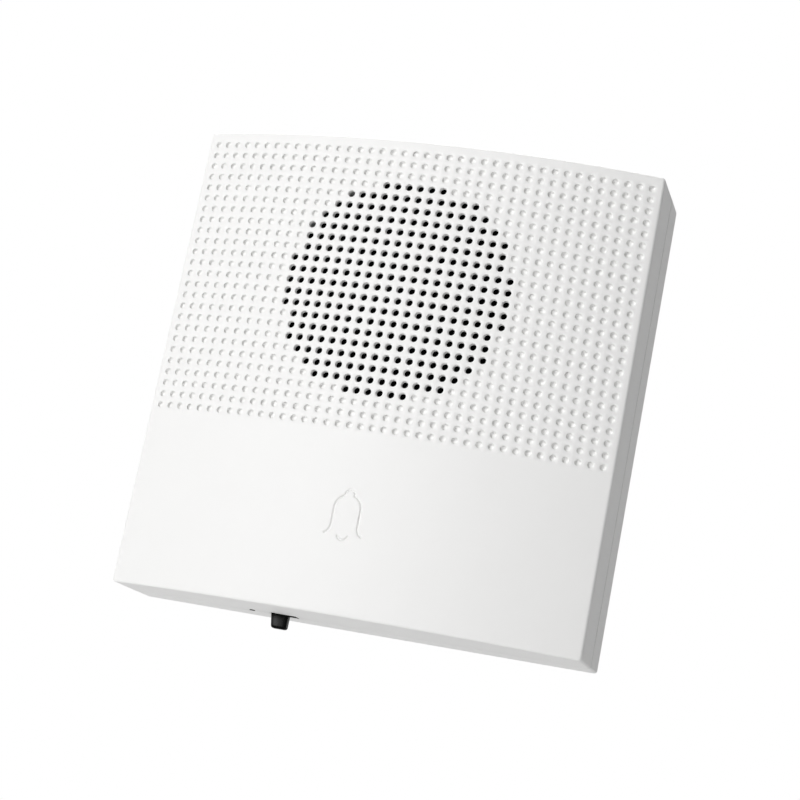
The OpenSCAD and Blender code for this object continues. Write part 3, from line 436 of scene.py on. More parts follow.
def drawCloth(sheet, look):
    place = sheet.place()
    warp = sheet.wave(place, look["thread"], "X")
    weft = sheet.wave(place, look["thread"], "Z")
    threads = 0.5 * (warp + weft)
    fuzz = sheet.noise(place, weave["fuzz"], detail=4)
    # painted shade: the colour goes darker where the threads' bump is low
    dark, light = [shade(look["colour"], level) for level in weave["shades"]]
    sheet.close({"Base Color": sheet.blend(threads, dark, light),
                 "Roughness": look["roughness"] - weave["fuzzGloss"] * fuzz,
                 "Specular IOR Level": look["shine"],
                 "Normal": sheet.bump(threads + weave["fuzzHeight"] * fuzz, look["height"])})


fibreLook = {
    "shades": (0.75, 1.25),
    "stretches": ((1, 1, 0.2), (0.2, 1, 1)),  # fibres run up and across
    "gloss": 0.15,  # how much smoother a fibre is
}
pressings = {
    "grey_card": {"colour": (0.240, 0.230, 0.210), "fibre": 0.5, "height": 0.015, "roughness": 0.90},
    "black_paper": {"colour": (0.030, 0.030, 0.031), "fibre": 0.7, "height": 0.020, "roughness": 0.82},
    "phenolic": {"colour": (0.300, 0.150, 0.070), "fibre": 0.9, "height": 0.006, "roughness": 0.46},
}


def drawPressing(sheet, look):
    upright, level = [sheet.noise(sheet.place(stretch), look["fibre"], detail=4)
                      for stretch in fibreLook["stretches"]]
    fibres = 0.5 * (upright + level)
    dark, light = [shade(look["colour"], share) for share in fibreLook["shades"]]
    sheet.close({"Base Color": sheet.blend(fibres, dark, light),
                 "Roughness": look["roughness"] - fibreLook["gloss"] * fibres,
                 "Normal": sheet.bump(fibres, look["height"])})


boards = {
    "board_green": {"resist": (0.018, 0.150, 0.060), "overCopper": (0.040, 0.250, 0.100), "patch": 2.4,
                    "scatter": 0.7, "copperFrom": 0.55, "glass": 0.5, "glassHeight": 0.2, "height": 0.02,
                    "roughness": 0.30, "spread": 0.12},
}


def drawBoard(sheet, look):
    place = sheet.place()
    sockets = {"Vector": place, "Scale": 1 / (look["patch"] * mm), "Randomness": look["scatter"]}
    patches = sheet.node("ShaderNodeTexVoronoi", {"feature": "F1", "distance": "MANHATTAN"}, sockets)
    copper = patches > look["copperFrom"]
    glass = 0.5 * (sheet.wave(place, look["glass"], "X") + sheet.wave(place, look["glass"], "Z"))
    colour = sheet.blend(copper, shade(look["resist"]), shade(look["overCopper"]))
    sheet.close({"Base Color": colour, "Roughness": look["roughness"] + look["spread"] * glass,
                 "Normal": sheet.bump(copper + look["glassHeight"] * glass, look["height"])})


finishKinds = (
    (mouldings, drawMoulding),
    (metals, drawMetal),
    (cloths, drawCloth),
    (pressings, drawPressing),
    (boards, drawBoard),
)
finishes = {}
for looks, drawFinish in finishKinds:
    for slotName, look in looks.items():
        finishes[slotName], sheet = newFinish(slotName)
        drawFinish(sheet, look)
slotOf = {part["node"]: part["material_slot"] for part in frame["record"]["subparts"]}
print("finishes made:", len(finishes))


def dress(piece, body, *nodes):
    # a piece takes the finish of the nodes that it stands for, and moves with a body if one is named
    slotName = slotOf[nodes[0]]
    piece.data.materials.append(finishes[slotName])
    if body:
        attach(piece, body)
    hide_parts(*nodes)
    print("piece made:", piece.name, len(piece.data.polygons), "faces")


# Front cover: bowed front with marks and bell sign, drafted sides, slot and pinhole below

coverShape = {
    "bow": 160,
    "wall": 2,
    "grilleWall": 0.9,  # thinner where the marks go through
    "edge": 0.45,  # rounding of the front's edges
    "edgeSteps": 5,
    "draft": 0.05,  # how far the sides lean out from the front to the rim
    "corner": 0.6,  # rounding of the four long edges at the front
    "rimEdge": 0.3,
    "rimSteps": 3,
    "levels": (-17.0, -10.8, -8.6),  # y of the lines along the sides
    "cell": 2.2,  # distance between marks
    "columns": 40,
    "rows": 25,
    "firstRow": 2.6,  # below the top
    "dimpleProfile": ((0.66, 0), (0.61, 0.03), (0.59, 0.10), (0.57, 0.46), (0.51, 0.60), (0.41, 0.67),
                      (0.23, 0.70)),  # radius and depth
    "boreProfile": ((0.73, 0), (0.70, 0.02), (0.68, 0.06)),
    "boreRadius": 0.62,  # at the inner end
    "grilleWide": 43.9,
    "grilleHigh": 42.2,
    "lowerSpans": ((-44, -33, 5), (-33, -21, 6), (-21, -13.4, 4)),  # below the marks: from, to and steps
    "slot": (-15.75, -10.65),
    "pinhole": (-19.6, -9.7, 0.55),  # x, y and radius
    "pinholeEase": 0.04,
    "pinholeSteps": 24,
    "pinholePatch": (-20.9, -18.15),
}

bellSign = {
    "middle": -0.4,
    "lip": -30.4,
    "dome": 2.5,
    "side": 3.2,
    "flare": 1.8,  # radius of the flared sides
    "flareHigh": 1.6,
    "crown": 0.9,
    "clapper": 1.0,
    "domeEnd": 70,  # degrees up from the level, as the next two are
    "crownStart": 15,
    "clapperEnd": -15,
    "line": 0.5,
    "depth": 0.3,
    "patch": (-5.5, 5.5, -33, -21),  # x and z of the fine part of the front
    "fine": (5, 18),  # fine steps in one coarse step, along x and z
}


def distanceToLine(x, z, start, end):
    runX, runZ = end[0] - start[0], end[1] - start[1]
    share = ((x - start[0]) * runX + (z - start[1]) * runZ) / (runX ** 2 + runZ ** 2)
    share = max(0, min(1, share))
    return math.hypot(x - start[0] - share * runX, z - start[1] - share * runZ)


def distanceToArc(x, z, middle, radius, fromAngle, toAngle):
    dx, dz = x - middle[0], z - middle[1]
    angle = math.degrees(math.atan2(dz, dx)) % 360
    if fromAngle <= angle <= toAngle:
        return abs(math.hypot(dx, dz) - radius)
    ends = [math.radians(a) for a in (fromAngle, toAngle)]
    return min(math.hypot(dx - radius * math.cos(a), dz - radius * math.sin(a)) for a in ends)


def bellDepth(x, z, sign):
    # how deep the engraved line is at a point of the front
    x = abs(x - sign["middle"])
    flareZ = sign["lip"] + sign["flareHigh"]
    domeZ = flareZ + sign["side"]
    reach = sign["dome"] + sign["flare"]
    flareEnd = 180 + math.degrees(math.asin(sign["flareHigh"] / sign["flare"]))
    near = min(
        distanceToArc(x, z, (0, domeZ), sign["dome"], 0, sign["domeEnd"]),
        distanceToArc(x, z, (0, domeZ + sign["dome"]), sign["crown"], sign["crownStart"], 90),
        distanceToArc(x, z, (0, sign["lip"]), sign["clapper"], 270, 360 + sign["clapperEnd"]),
        distanceToLine(x, z, (sign["dome"], flareZ), (sign["dome"], domeZ)),
        distanceToArc(x, z, (reach, flareZ), sign["flare"], 180, flareEnd),
    )
    share = min(1, near / (sign["line"] / 2))
    return sign["depth"] * 0.5 * (1 + math.cos(math.pi * share))


class FrontCover:

    sideSteps = 4  # of the grid, along one side of a mark's cell
    nearly = 1e-6  # lines closer than this are one

    def __init__(self, shape, sign):
        low, high = boxOf("front_cover")
        self.shape = shape
        self.sign = sign
        self.net = Net()
        self.front = low.y
        self.rim = high.y
        self.step = shape["cell"] / self.sideSteps
        self.inner = high.x - shape["wall"]  # half width of the room inside
        self.base = high.x - shape["draft"] - shape["edge"]  # half width where the rounding starts
        self.topRow = high.z - shape["firstRow"]
        self.grilleZ = self.topRow - shape["cell"] * (shape["rows"] - 1) / 2
        halfCount = self.sideSteps * shape["columns"] // 2
        self.xs = [self.step * k for k in range(-halfCount, halfCount + 1)]
        fieldLow = self.topRow - shape["cell"] * (shape["rows"] - 0.5)
        fieldLines = [fieldLow + self.step * k for k in range(self.sideSteps * shape["rows"] + 1)]
        lowerLines = []
        for start, end, count in shape["lowerSpans"]:
            lowerLines += evenly(start, end, count)[:-1]
        lowerLines.append(end)
        self.coarseZs = lowerLines + [fieldLow]
        self.zs = lowerLines + fieldLines
        rounding = shape["corner"] - shape["edge"]
        self.outline = Outline(self.base, self.base, rounding, self.sideXs(), self.zs)
        self.cellRim = []  # points around a cell, in steps from its middle
        half = self.sideSteps // 2
        side = [(half, k) for k in range(-half, half)]
        for _ in range(4):
            self.cellRim += side
            side = [(-b, a) for a, b in side]
        self.markTurns = around(len(self.cellRim), -45)

    def faceY(self, x, inset=0):
        bow = self.shape["bow"]
        return self.front + bow - math.sqrt((bow - inset) ** 2 - x * x)

    def liningY(self, x):
        return self.faceY(x, self.shape["wall"])

    def grilleY(self, x):
        return self.faceY(x, self.shape["grilleWall"])

    def onFace(self, x, z, depth=0):
        return self.net.at(x, self.faceY(x) + depth, z)

    def goesThrough(self, x, z):
        wide, high = self.shape["grilleWide"], self.shape["grilleHigh"]
        return (2 * x / wide) ** 2 + (2 * (z - self.grilleZ) / high) ** 2 < 1

    def rimPoints(self, x, z, surface):
        return self.net.loop(x, z, self.cellRim, self.step, surface)

    def markRing(self, x, z, radius, surface):
        return self.net.loop(x, z, self.markTurns, radius, surface)

    def addMarks(self):
        shape = self.shape
        for column in range(shape["columns"]):
            x = (column - (shape["columns"] - 1) / 2) * shape["cell"]
            for row in range(shape["rows"]):
                z = self.topRow - row * shape["cell"]
                through = self.goesThrough(x, z)
                loops = [self.rimPoints(x, z, self.faceY)]
                for radius, depth in shape["boreProfile" if through else "dimpleProfile"]:
                    loops.append(self.markRing(x, z, radius, lambda px: self.faceY(px) + depth))
                if through:
                    loops.append(self.markRing(x, z, shape["boreRadius"], self.grilleY))
                else:
                    self.net.face(loops[-1])
                self.net.skin(loops)

    def edgePoints(self, start, end):
        # a coarse edge, with the fine points in it where it borders the bell's patch
        left, right, low, high = self.sign["patch"]
        across, along = self.sign["fine"]
        inside = all(left <= x <= right and low <= z <= high for x, z in (start, end))
        level = start[1] == end[1] and start[1] in (low, high)
        upright = start[0] == end[0] and abs(abs(start[0]) - right) < self.nearly
        count = across if inside and level else along if inside and upright else 1
        xs, zs = [evenly(a, b, count)[:-1] for a, b in zip(start, end)]
        return [self.onFace(x, z) for x, z in zip(xs, zs)]

    def addPlainPart(self):
        left, right, low, high = self.sign["patch"]
        for x0, x1 in zip(self.xs, self.xs[1:]):
            for z0, z1 in zip(self.coarseZs, self.coarseZs[1:]):
                inWidth = left - self.nearly <= x0 and x1 <= right + self.nearly
                if inWidth and low <= z0 and z1 <= high:
                    self.addFineCell(x0, x1, z0, z1)
                    continue
                corners = [(x0, z0), (x1, z0), (x1, z1), (x0, z1)]
                loop = []
                for start, end in zip(corners, corners[1:] + corners[:1]):
                    loop += self.edgePoints(start, end)
                self.net.face(loop)

    def addFineCell(self, x0, x1, z0, z1):
        across, along = self.sign["fine"]
        xs = evenly(x0, x1, across)
        lines = []
        for z in evenly(z0, z1, along):
            lines.append([self.onFace(x, z, bellDepth(x, z, self.sign)) for x in xs])
        self.net.skin(lines, closed=False)

    def faceBorder(self):
        # the border of the front's grid, point for point beside the outline
        xs, zs = self.xs, self.zs
        low = [self.onFace(x, zs[0]) for x in xs]
        right = [self.onFace(xs[-1], z) for z in zs]
        high = [self.onFace(x, zs[-1]) for x in reversed(xs)]
        left = [self.onFace(xs[0], z) for z in reversed(zs)]
        cornerPoints = self.outline.cornerSteps + 1
        border = []
        for side in (low, right, high, left):
            border += side + side[-1:] * cornerPoints
        return border

    def push(self, y):
        # the sides lean out evenly from the front's edge to the rim
        start = self.faceY(self.base) + self.shape["edge"]
        return self.shape["edge"] + self.shape["draft"] * (y - start) / (self.rim - start)

    def addSides(self):
        shape, net, outline = self.shape, self.net, self.outline
        edge, rimEdge = shape["edge"], shape["rimEdge"]
        rings = [self.faceBorder()]
        for out, along in roundedSteps(shape["edgeSteps"]):
            rings.append(outline.ring(net, edge * out, lambda x: self.faceY(x) + edge * along))
        plainRings = len(rings)
        for y in shape["levels"]:
            rings.append(outline.ring(net, self.push(y), y))
        full = self.push(self.rim)
        for out, along in roundedSteps(shape["rimSteps"]):
            rings.append(outline.ring(net, full - rimEdge * along, self.rim - rimEdge * (1 - out)))
        inside = self.inner - self.base
        rings.append(outline.ring(net, inside, self.rim))
        for y in reversed(shape["levels"][1:]):
            rings.append(outline.ring(net, inside, y))
        rings.append(outline.ring(net, inside, self.liningY))

        slotStart, slotEnd = [self.indexAt(x) for x in shape["slot"]]
        patchStart, patchEnd = [self.indexAt(x) for x in shape["pinholePatch"]]
        slotSpan = set(range(slotStart, slotEnd))
        patchSpan = set(range(patchStart, patchEnd))
        slotTop = plainRings + 1
        slotBack = len(rings) - 2
        for k, (first, second) in enumerate(zip(rings, rings[1:])):
            leave = slotSpan if slotTop <= k < slotBack else set()
            if k in (slotTop, slotBack - 1):
                leave = leave | patchSpan
            net.strip(first, second, leave)
        for i in (slotStart, slotEnd):
            net.face([rings[k][i] for k in range(slotTop, slotBack + 1)])
        slotWall = [rings[k][slotStart:slotEnd + 1] for k in (slotTop, slotBack)]
        net.strip(slotWall[0], slotWall[1], closed=False)
        patch = slice(patchStart, patchEnd + 1)
        outerPatch = rings[slotTop][patch] + rings[slotTop + 1][patch]
        innerPatch = rings[slotBack][patch] + rings[slotBack - 1][patch]
        self.addPinhole(outerPatch, innerPatch)
        return rings[-1]

    def indexAt(self, x):
        return min(range(len(self.xs)), key=lambda i: abs(self.xs[i] - x))

    def sideXs(self):
        # the front's lines, with the nearest ones moved to the ends of the slot
        xs = list(self.xs)
        for x in self.shape["slot"]:
            xs[self.indexAt(x)] = x
        return xs

    def addPinhole(self, outerPatch, innerPatch):
        x, y, radius = self.shape["pinhole"]
        ease = self.shape["pinholeEase"]
        loops = [[], [], []]
        for across, along in around(self.shape["pinholeSteps"]):
            for n, (grow, sink) in enumerate(((ease, 0), (0, ease))):
                px, py = x + (radius + grow) * across, y + (radius + grow) * along
                loops[n].append(self.net.at(px, py, -self.base - self.push(py) + sink))
            loops[2].append(self.net.at(x + radius * across, y + radius * along, -self.inner))
        self.net.lace(outerPatch, loops[0], (0, 1), (x, y))
        self.net.skin(loops)
        self.net.lace(innerPatch, loops[2], (0, 1), (x, y))

    def addLining(self, border):
        # the inner side of the front
        shape = self.shape
        cell = shape["cell"]
        columns = shape["columns"] - 2
        xs = [cell * (k - (columns - 1) / 2) for k in range(columns)]
        zs = [self.topRow - cell * (k + 1) for k in range(columns)]
        for x in xs:
            for z in zs:
                self.addLiningCell(x, z)
        low, high = zs[-1] - cell / 2, zs[0] + cell / 2
        side = xs[-1] + cell / 2
        edgeXs = [x - cell / 2 for x in xs] + [side]
        edgeZs = [z + cell / 2 for z in zs] + [low]
        frameLoop = [self.net.at(x, self.liningY(x), z) for x in edgeXs for z in (low, high)]
        frameLoop += [self.net.at(x, self.liningY(x), z) for x in (-side, side) for z in edgeZs]
        self.net.lace(border, frameLoop, (0, 2), (0, 0))

    def addLiningCell(self, x, z):
        # the wall is thinner around a bore, with a step where the next cell has none
        cell = self.shape["cell"]
        through = self.goesThrough(x, z)
        stepped = []
        for side, (a, b) in enumerate(((1, 0), (0, 1), (-1, 0), (0, -1))):
            if self.goesThrough(x + a * cell, z + b * cell) != through:
                stepped.append(side)
        thick = self.rimPoints(x, z, self.liningY)
        if not through:
            places = [divmod(k, self.sideSteps) for k in range(len(thick))]
            self.net.face([point for point, (side, k) in zip(thick, places) if k == 0 or side in stepped])
            return
        thin = self.rimPoints(x, z, self.grilleY)
        self.net.strip(thin, self.markRing(x, z, self.shape["boreRadius"], self.grilleY))
        for side in stepped:
            span = [(self.sideSteps * side + k) % len(thick) for k in range(self.sideSteps + 1)]
            self.net.strip([thin[k] for k in span], [thick[k] for k in span], closed=False)

    def build(self):
        self.addMarks()
        self.addPlainPart()
        self.addLining(self.addSides())
        return self.net


coverFixings = {
    "caseBosses": {"radius": 3.5, "pilot": 1.35, "end": -8.0, "bottom": -15.9, "at": (37.75, 37.75)},
    "boardBosses": {"radius": 2.4, "pilot": 1.15, "end": -13.6, "bottom": -17.1, "at": (30, (-38, -16))},
    "speakerBosses": {"radius": 2.4, "pilot": 1.15, "end": -18.41, "bottom": -21.81, "around": 27.8},
    "bossSteps": 32,
    "collar": {"inner": 22.8, "outer": 25, "end": -20.61, "steps": 96},
    "ease": 0.2,
    "root": 0.8,  # how far a boss reaches into the front wall
}


def rootOf(cover, fixings):
    # the end of a boss inside the front wall
    return lambda x: cover.liningY(x) - fixings["root"]


def addBoss(cover, x, z, boss, fixings):
    ease, root = fixings["ease"], rootOf(cover, fixings)
    radius, pilot, end = boss["radius"], boss["pilot"], boss["end"]
    cover.net.turn(x, z, [
        (0, root), (radius, root), (radius, end - ease), (radius - ease, end),
        (pilot + ease, end), (pilot, end - ease), (pilot, boss["bottom"]), (0, boss["bottom"]),
    ], fixings["bossSteps"])


def addCoverFixings(cover, fixings):
    wide, high = fixings["caseBosses"]["at"]
    boardX, boardZs = fixings["boardBosses"]["at"]
    offset = fixings["speakerBosses"]["around"] * math.sqrt(0.5)
    for side in (-1, 1):
        for level in (-1, 1):
            addBoss(cover, side * wide, level * high, fixings["caseBosses"], fixings)
            addBoss(cover, side * offset, cover.grilleZ + level * offset, fixings["speakerBosses"], fixings)
        for z in boardZs:
            addBoss(cover, side * boardX, z, fixings["boardBosses"], fixings)
    collar, root = fixings["collar"], rootOf(cover, fixings)
    inner, outer, end = collar["inner"], collar["outer"], collar["end"]
    profile = [(inner, root), (outer, root), (outer, end), (inner, end)]
    cover.net.turn(0, cover.grilleZ, profile, collar["steps"])


cover = FrontCover(coverShape, bellSign)
cover.build()
addCoverFixings(cover, coverFixings)
dress(cover.net.build("front_cover_moulding"), "case", "front_cover")


# Rear case: rounded back edge, locating lip, screw posts, keyholes and the window for the wires

rearShape = {
    "rim": -7.7,
    "wall": 2,
    "corner": 0.6,
    "backEdge": (0.3, 0.5),  # rounding of the back's edges, across and along the depth
    "backSteps": 4,
    "rimEdge": 0.1,
    "rimSteps": 3,
    "lip": (42.85, 41.65, -10.0),  # outer side, inner side and top
    "lipRoot": 2.0,
    "lipGap": (-22.6, -7.65),
    "socket": (-15.65, -10.75),  # x of the socket for the strip behind the knob
    "socketSides": (44.05, 42.95),
    "socketDeep": 1.55,
    "lineStep": 3.0,
    "hole": 0.3,  # rounding of the holes in the back
    "holeSteps": 3,
    "postEase": 0.2,
    "postSteps": 32,
    "postAt": 37.75,
    "post": (4.2, -8.0),
    "screwHole": 1.35,
    "seat": (2.8, -3.4),
    "keyholeAt": (30, 20),
    "keyhole": (4.0, 2.1, 8.0),  # radius, half width of the neck and its length
    "window": (7.2, 29.2, -33.8, -13.5),
    "windowCorner": 0.4,
    "sharpFrom": 40,  # degrees
}


def keyholeLoop(net, x, z, size, grow, depth):
    radius, neck, length = size[0] + grow, size[1] + grow, size[2]
    join = math.degrees(math.asin(neck / radius))
    arcSteps, neckSteps = 32, 12
    loop = net.loop(x, z, arc(90 + join, 360 - 2 * join, arcSteps), radius, depth)
    return loop + net.loop(x, z + length, arc(0, 180, neckSteps), neck, depth)


def windowLoop(net, shape, grow, depth):
    left, right, low, high = shape["window"]
    middle = ((left + right) / 2, (low + high) / 2)
    line = Outline((right - left) / 2, (high - low) / 2, shape["windowCorner"], [], [], middle)
    return line.ring(net, grow, depth)


def makeRearCase(shape):
    _, high = boxOf("rear_case")
    net = Net()
    half, rim, wall = high.x, shape["rim"], shape["wall"]
    reach = half - shape["corner"]
    count = round(2 * reach / shape["lineStep"])
    lines = evenly(-reach, reach, count)
    xs = sorted(lines + 2 * [*shape["lipGap"], *shape["socket"]])
    outline = Outline(half, half, shape["corner"], xs, lines)

    def spanOf(start, end):
        # indices along the lower side from the second line at start to the first line at end
        first = len(xs) - 1 - xs[::-1].index(start)
        return range(first, xs.index(end) + 1)
    inGap = spanOf(*shape["lipGap"])
    inSocket = spanOf(*shape["socket"])
    everywhere = range(len(outline.marks))
    lipOuter, lipInner, lipTop = shape["lip"]
    lipYs = [rim if i in inGap else lipTop for i in everywhere]
    lipRoot = rim + shape["lipRoot"]
    socketOuter, socketInner = shape["socketSides"]
    socketYs = [rim + shape["socketDeep"] if i in inSocket else rim for i in everywhere]

    across, along = shape["backEdge"]
    rimEdge = shape["rimEdge"]
    rings = []
    for out, deep in roundedSteps(shape["backSteps"]):
        rings.append(outline.ring(net, -across * (1 - out), -along * deep))
    for out, deep in roundedSteps(shape["rimSteps"]):
        rings.append(outline.ring(net, -rimEdge * deep, rim + rimEdge * (1 - out)))
    for side, ys in (
        (socketOuter, rim), (socketOuter, socketYs), (socketInner, socketYs), (socketInner, rim),
        (lipOuter, rim), (lipOuter, lipYs), (lipInner, lipYs), (lipInner, lipRoot),
        (half - wall, lipRoot), (half - wall, -wall),
    ):
        rings.append(outline.ring(net, side - half, ys))
    net.skin(rings)

    floorHoles, backHoles = [], []
    at, hole, floor = shape["postAt"], shape["hole"], -wall
    postRadius, postEnd = shape["post"]
    seatRadius, seatDepth = shape["seat"]
    bore, ease, steps = shape["screwHole"], shape["postEase"], shape["postSteps"]
    profile = [
        (postRadius, floor), (postRadius, postEnd + ease), (postRadius - ease, postEnd),
        (bore + ease, postEnd), (bore, postEnd + ease), (bore, seatDepth),
        (seatRadius, seatDepth), (seatRadius, -hole), (seatRadius + hole, 0),
    ]
    for x in (-at, at):
        for z in (-at, at):
            loops = [net.loop(x, z, around(steps), radius, depth) for radius, depth in profile]
            net.skin(loops)
            floorHoles.append(loops[0])
            backHoles.append(loops[-1])
    keyX, keyZ = shape["keyholeAt"]
    size = shape["keyhole"]
    openings = [
        lambda grow, depth: keyholeLoop(net, -keyX, keyZ, size, grow, depth),
        lambda grow, depth: keyholeLoop(net, keyX, keyZ, size, grow, depth),
        lambda grow, depth: windowLoop(net, shape, grow, depth),
    ]
    eases = roundedSteps(shape["holeSteps"])
    for opening in openings:
        loops = [opening(hole * (1 - out), -hole * deep) for out, deep in eases]
        loops.append(opening(0, floor))
        net.skin(loops)
        backHoles.append(loops[0])
        floorHoles.append(loops[-1])

    net.fill(rings[:1] + backHoles)
    net.fill(rings[-1:] + floorHoles)
    return net


rearCase = makeRearCase(rearShape).build("rear_case_moulding", rearShape["sharpFrom"])
dress(rearCase, "case", "rear_case")


# Switch knob: tapered grip with a rounded tip and a bowed front, on its slider block

knobShape = {
    "stemWide": 3.4,
    "stemThick": 1.8,
    "stemSink": 0.3,  # how far the stem stops below the top of the block
    "tipWide": 3.0,
    "tipThick": 1.7,
    "tipShift": 0.2,  # the left side is tapered more than the right one
    "tipRounding": 0.5,
    "tipSteps": 5,
    "tipSharper": 0.7,  # share of the edge's rounding that is lost at the tip
    "edge": 0.3,
    "cornerSteps": 4,
    "bow": 0.14,  # of the front
    "bowMiddle": -0.5,  # as a share of half the width
    "bowSteps": 8,
    "blockEdge": 0.25,
    "blockUp": 0.5,  # the block above the bottom of the switch's shell
    "exit": -45.0,  # z where the stem leaves the case
}


def roundedSection(net, x, y, z, wide, thick, rounding, shape, bow=0):
    # an outline in x and y at one height, with a bow in its front
    loop = []

    def bowed(share):
        middle = shape["bowMiddle"]
        return bow * ((share - middle) / (1 + abs(middle))) ** 2
    for cornerX, cornerY, start in ((1, -1, -90), (1, 1, 0), (-1, 1, 90), (-1, -1, 180)):
        for across, along in arc(start, 90, shape["cornerSteps"]):
            px = x + cornerX * (wide / 2 - rounding) + rounding * across
            py = y + cornerY * (thick / 2 - rounding) + rounding * along
            loop.append(net.at(px, py + (bowed(cornerX) if cornerY < 0 else 0), z))
    for k in range(1, shape["bowSteps"]):
        share = 2 * k / shape["bowSteps"] - 1
        loop.append(net.at(x + share * (wide / 2 - rounding), y - thick / 2 + bowed(share), z))
    return loop


def addLoft(net, sections):
    net.face(sections[0])
    net.skin(sections)
    net.face(sections[-1])


def makeKnob(shape):
    low, high = boxOf("switch_knob")
    shell, _ = boxOf("switch_shell")
    x, y, _ = middleOf("switch_knob")
    edge, tip, bow = shape["edge"], shape["tipRounding"], shape["bow"]
    net = Net()
    stem = []
    for z in (high.z - shape["stemSink"], shape["exit"]):
        stem.append(roundedSection(net, x, y, z, shape["stemWide"], shape["stemThick"], edge, shape, bow))
    for out, along in roundedSteps(shape["tipSteps"]):
        shrink = tip * along
        wide, thick = shape["tipWide"] - 2 * shrink, shape["tipThick"] - 2 * shrink
        z = low.z + tip * (1 - out)
        rounding = edge * (1 - shape["tipSharper"] * along)
        middle, flatter = x + shape["tipShift"], bow * (1 - along)
        stem.append(roundedSection(net, middle, y, z, wide, thick, rounding, shape, flatter))
    addLoft(net, stem)
    ease = shape["blockEdge"]
    blockLow = shell.z + shape["blockUp"]
    wide, thick = high.x - low.x, high.y - low.y
    steps = ((blockLow, ease), (blockLow + ease, 0), (high.z - ease, 0), (high.z, ease))
    addLoft(net, [roundedSection(net, x, y, z, wide - 2 * e, thick - 2 * e, ease, shape) for z, e in steps])
    return net


dress(makeKnob(knobShape).build("switch_knob_moulding"), "slider", "switch_knob")


# Indicator: a domed lens with a rim, and a narrow nose that fills the pinhole

indicatorShape = {
    "nose": 0.53,  # radius
    "noseOut": 0.09,  # below the bottom of the case
    "lens": 1.5,
    "domeTip": -42.6,
    "domeSteps": 8,
    "rim": 1.9,
    "rimThick": 1.0,
    "edge": 0.05,
    "steps": 32,
}


def makeIndicator(shape):
    _, high = boxOf("indicator_led")
    caseLow, _ = boxOf("front_cover")
    x, y, _ = middleOf("indicator_led")
    nose, lens, rim, edge = shape["nose"], shape["lens"], shape["rim"], shape["edge"]
    tip = caseLow.z - shape["noseOut"]
    middle = shape["domeTip"] + lens
    start = math.asin(nose / lens)
    profile = [(nose - edge, tip), (nose, tip + edge)]
    for angle in evenly(start, math.pi / 2, shape["domeSteps"]):
        profile.append((lens * math.sin(angle), middle - lens * math.cos(angle)))
    rimLow = high.z - shape["rimThick"]
    profile += [(lens, rimLow), (rim - edge, rimLow), (rim, rimLow + edge)]
    profile += [(rim, high.z - edge), (rim - edge, high.z)]
    net = Net()
    turns = around(shape["steps"])
    loops = []
    for radius, z in profile:
        loops.append([net.at(x + radius * across, y + radius * along, z) for across, along in turns])
    addLoft(net, loops)
    return net


dress(makeIndicator(indicatorShape).build("indicator_lens"), "case", "indicator_led")


# Cloth and rubber of the loudspeaker

softParts = {
    "turnSteps": 72,
    "clothEdge": 0.12,
    "clothRings": 6,
    "rollSteps": 16,
    "sheet": 0.3,
    "rimOuter": 24.8,
    "rollOuter": 21.6,
    "rollInner": 19.6,
    "neckInner": 18.4,
    "spiderInner": 6.25,
    "spiderOuter": 13.5,
    "spiderFlat": 0.9,
    "spiderWave": 0.35,
    "spiderWaves": 3,
    "spiderSteps": 48,
    "ledgeInner": 11.7,  # inner edge of the basket's ledge, which holds the spider
}


def turned(profile, shape):
    x, _, z = middleOf("dust_cloth")  # on the loudspeaker's axis
    net = Net()
    net.turn(x, z, profile, shape["turnSteps"])
    return net


def makeDustCloth(shape):
    low, high = boxOf("dust_cloth")
    radius, ease = (high.x - low.x) / 2, shape["clothEdge"]
    ringsIn = evenly(0, radius, shape["clothRings"])[:-1]
    front = [(r, low.y) for r in ringsIn]
    back = [(r, high.y) for r in reversed(ringsIn)]
    edge = [(radius - ease, low.y), (radius, low.y + ease)]
    edge += [(radius, high.y - ease), (radius - ease, high.y)]
    return turned(front + edge + back, shape)


def makeSurround(shape):
    low, _ = boxOf("surround")
    sheet = shape["sheet"]
    rollMiddle = (shape["rollOuter"] + shape["rollInner"]) / 2
    rollRadius = (shape["rollOuter"] - shape["rollInner"]) / 2
    seat = low.y  # front of the flat rims
    turns = arc(0, 180, shape["rollSteps"])
    arcs = []
    for radius in (rollRadius, rollRadius - sheet):
        arcs.append([(rollMiddle - radius * across, seat + radius * along) for across, along in turns])
    inner, outer = shape["neckInner"], shape["rimOuter"]
    under = [(inner, seat + sheet), (shape["rollInner"], seat + sheet)] + arcs[0][2:-2]
    under += [(shape["rollOuter"], seat + sheet), (outer, seat + sheet)]
    over = [(outer, seat), (shape["rollOuter"] - sheet, seat)] + arcs[1][::-1][1:-1]
    over += [(shape["rollInner"] + sheet, seat), (inner, seat)]
    return turned(under + over, shape)


def makeSpider(shape):
    low, _ = boxOf("spider")
    sheet, wave = shape["sheet"], shape["spiderWave"]
    inner, outer, flat = shape["spiderInner"], shape["spiderOuter"], shape["spiderFlat"]
    front = low.y + wave
    steps = shape["spiderSteps"]
    radii = evenly(inner + flat, outer - flat, steps)
    turns = evenly(0, 2 * math.pi * shape["spiderWaves"], steps)
    top = [(inner, front)]
    top += [(radius, front + wave * math.sin(turn)) for radius, turn in zip(radii, turns)]
    top.append((outer, front))
    under = [(radius, depth + sheet) for radius, depth in reversed(top)]
    return turned(top + under, shape)


dustCloth = makeDustCloth(softParts).build("dust_cloth_disc")
dress(dustCloth, "case", "dust_cloth")


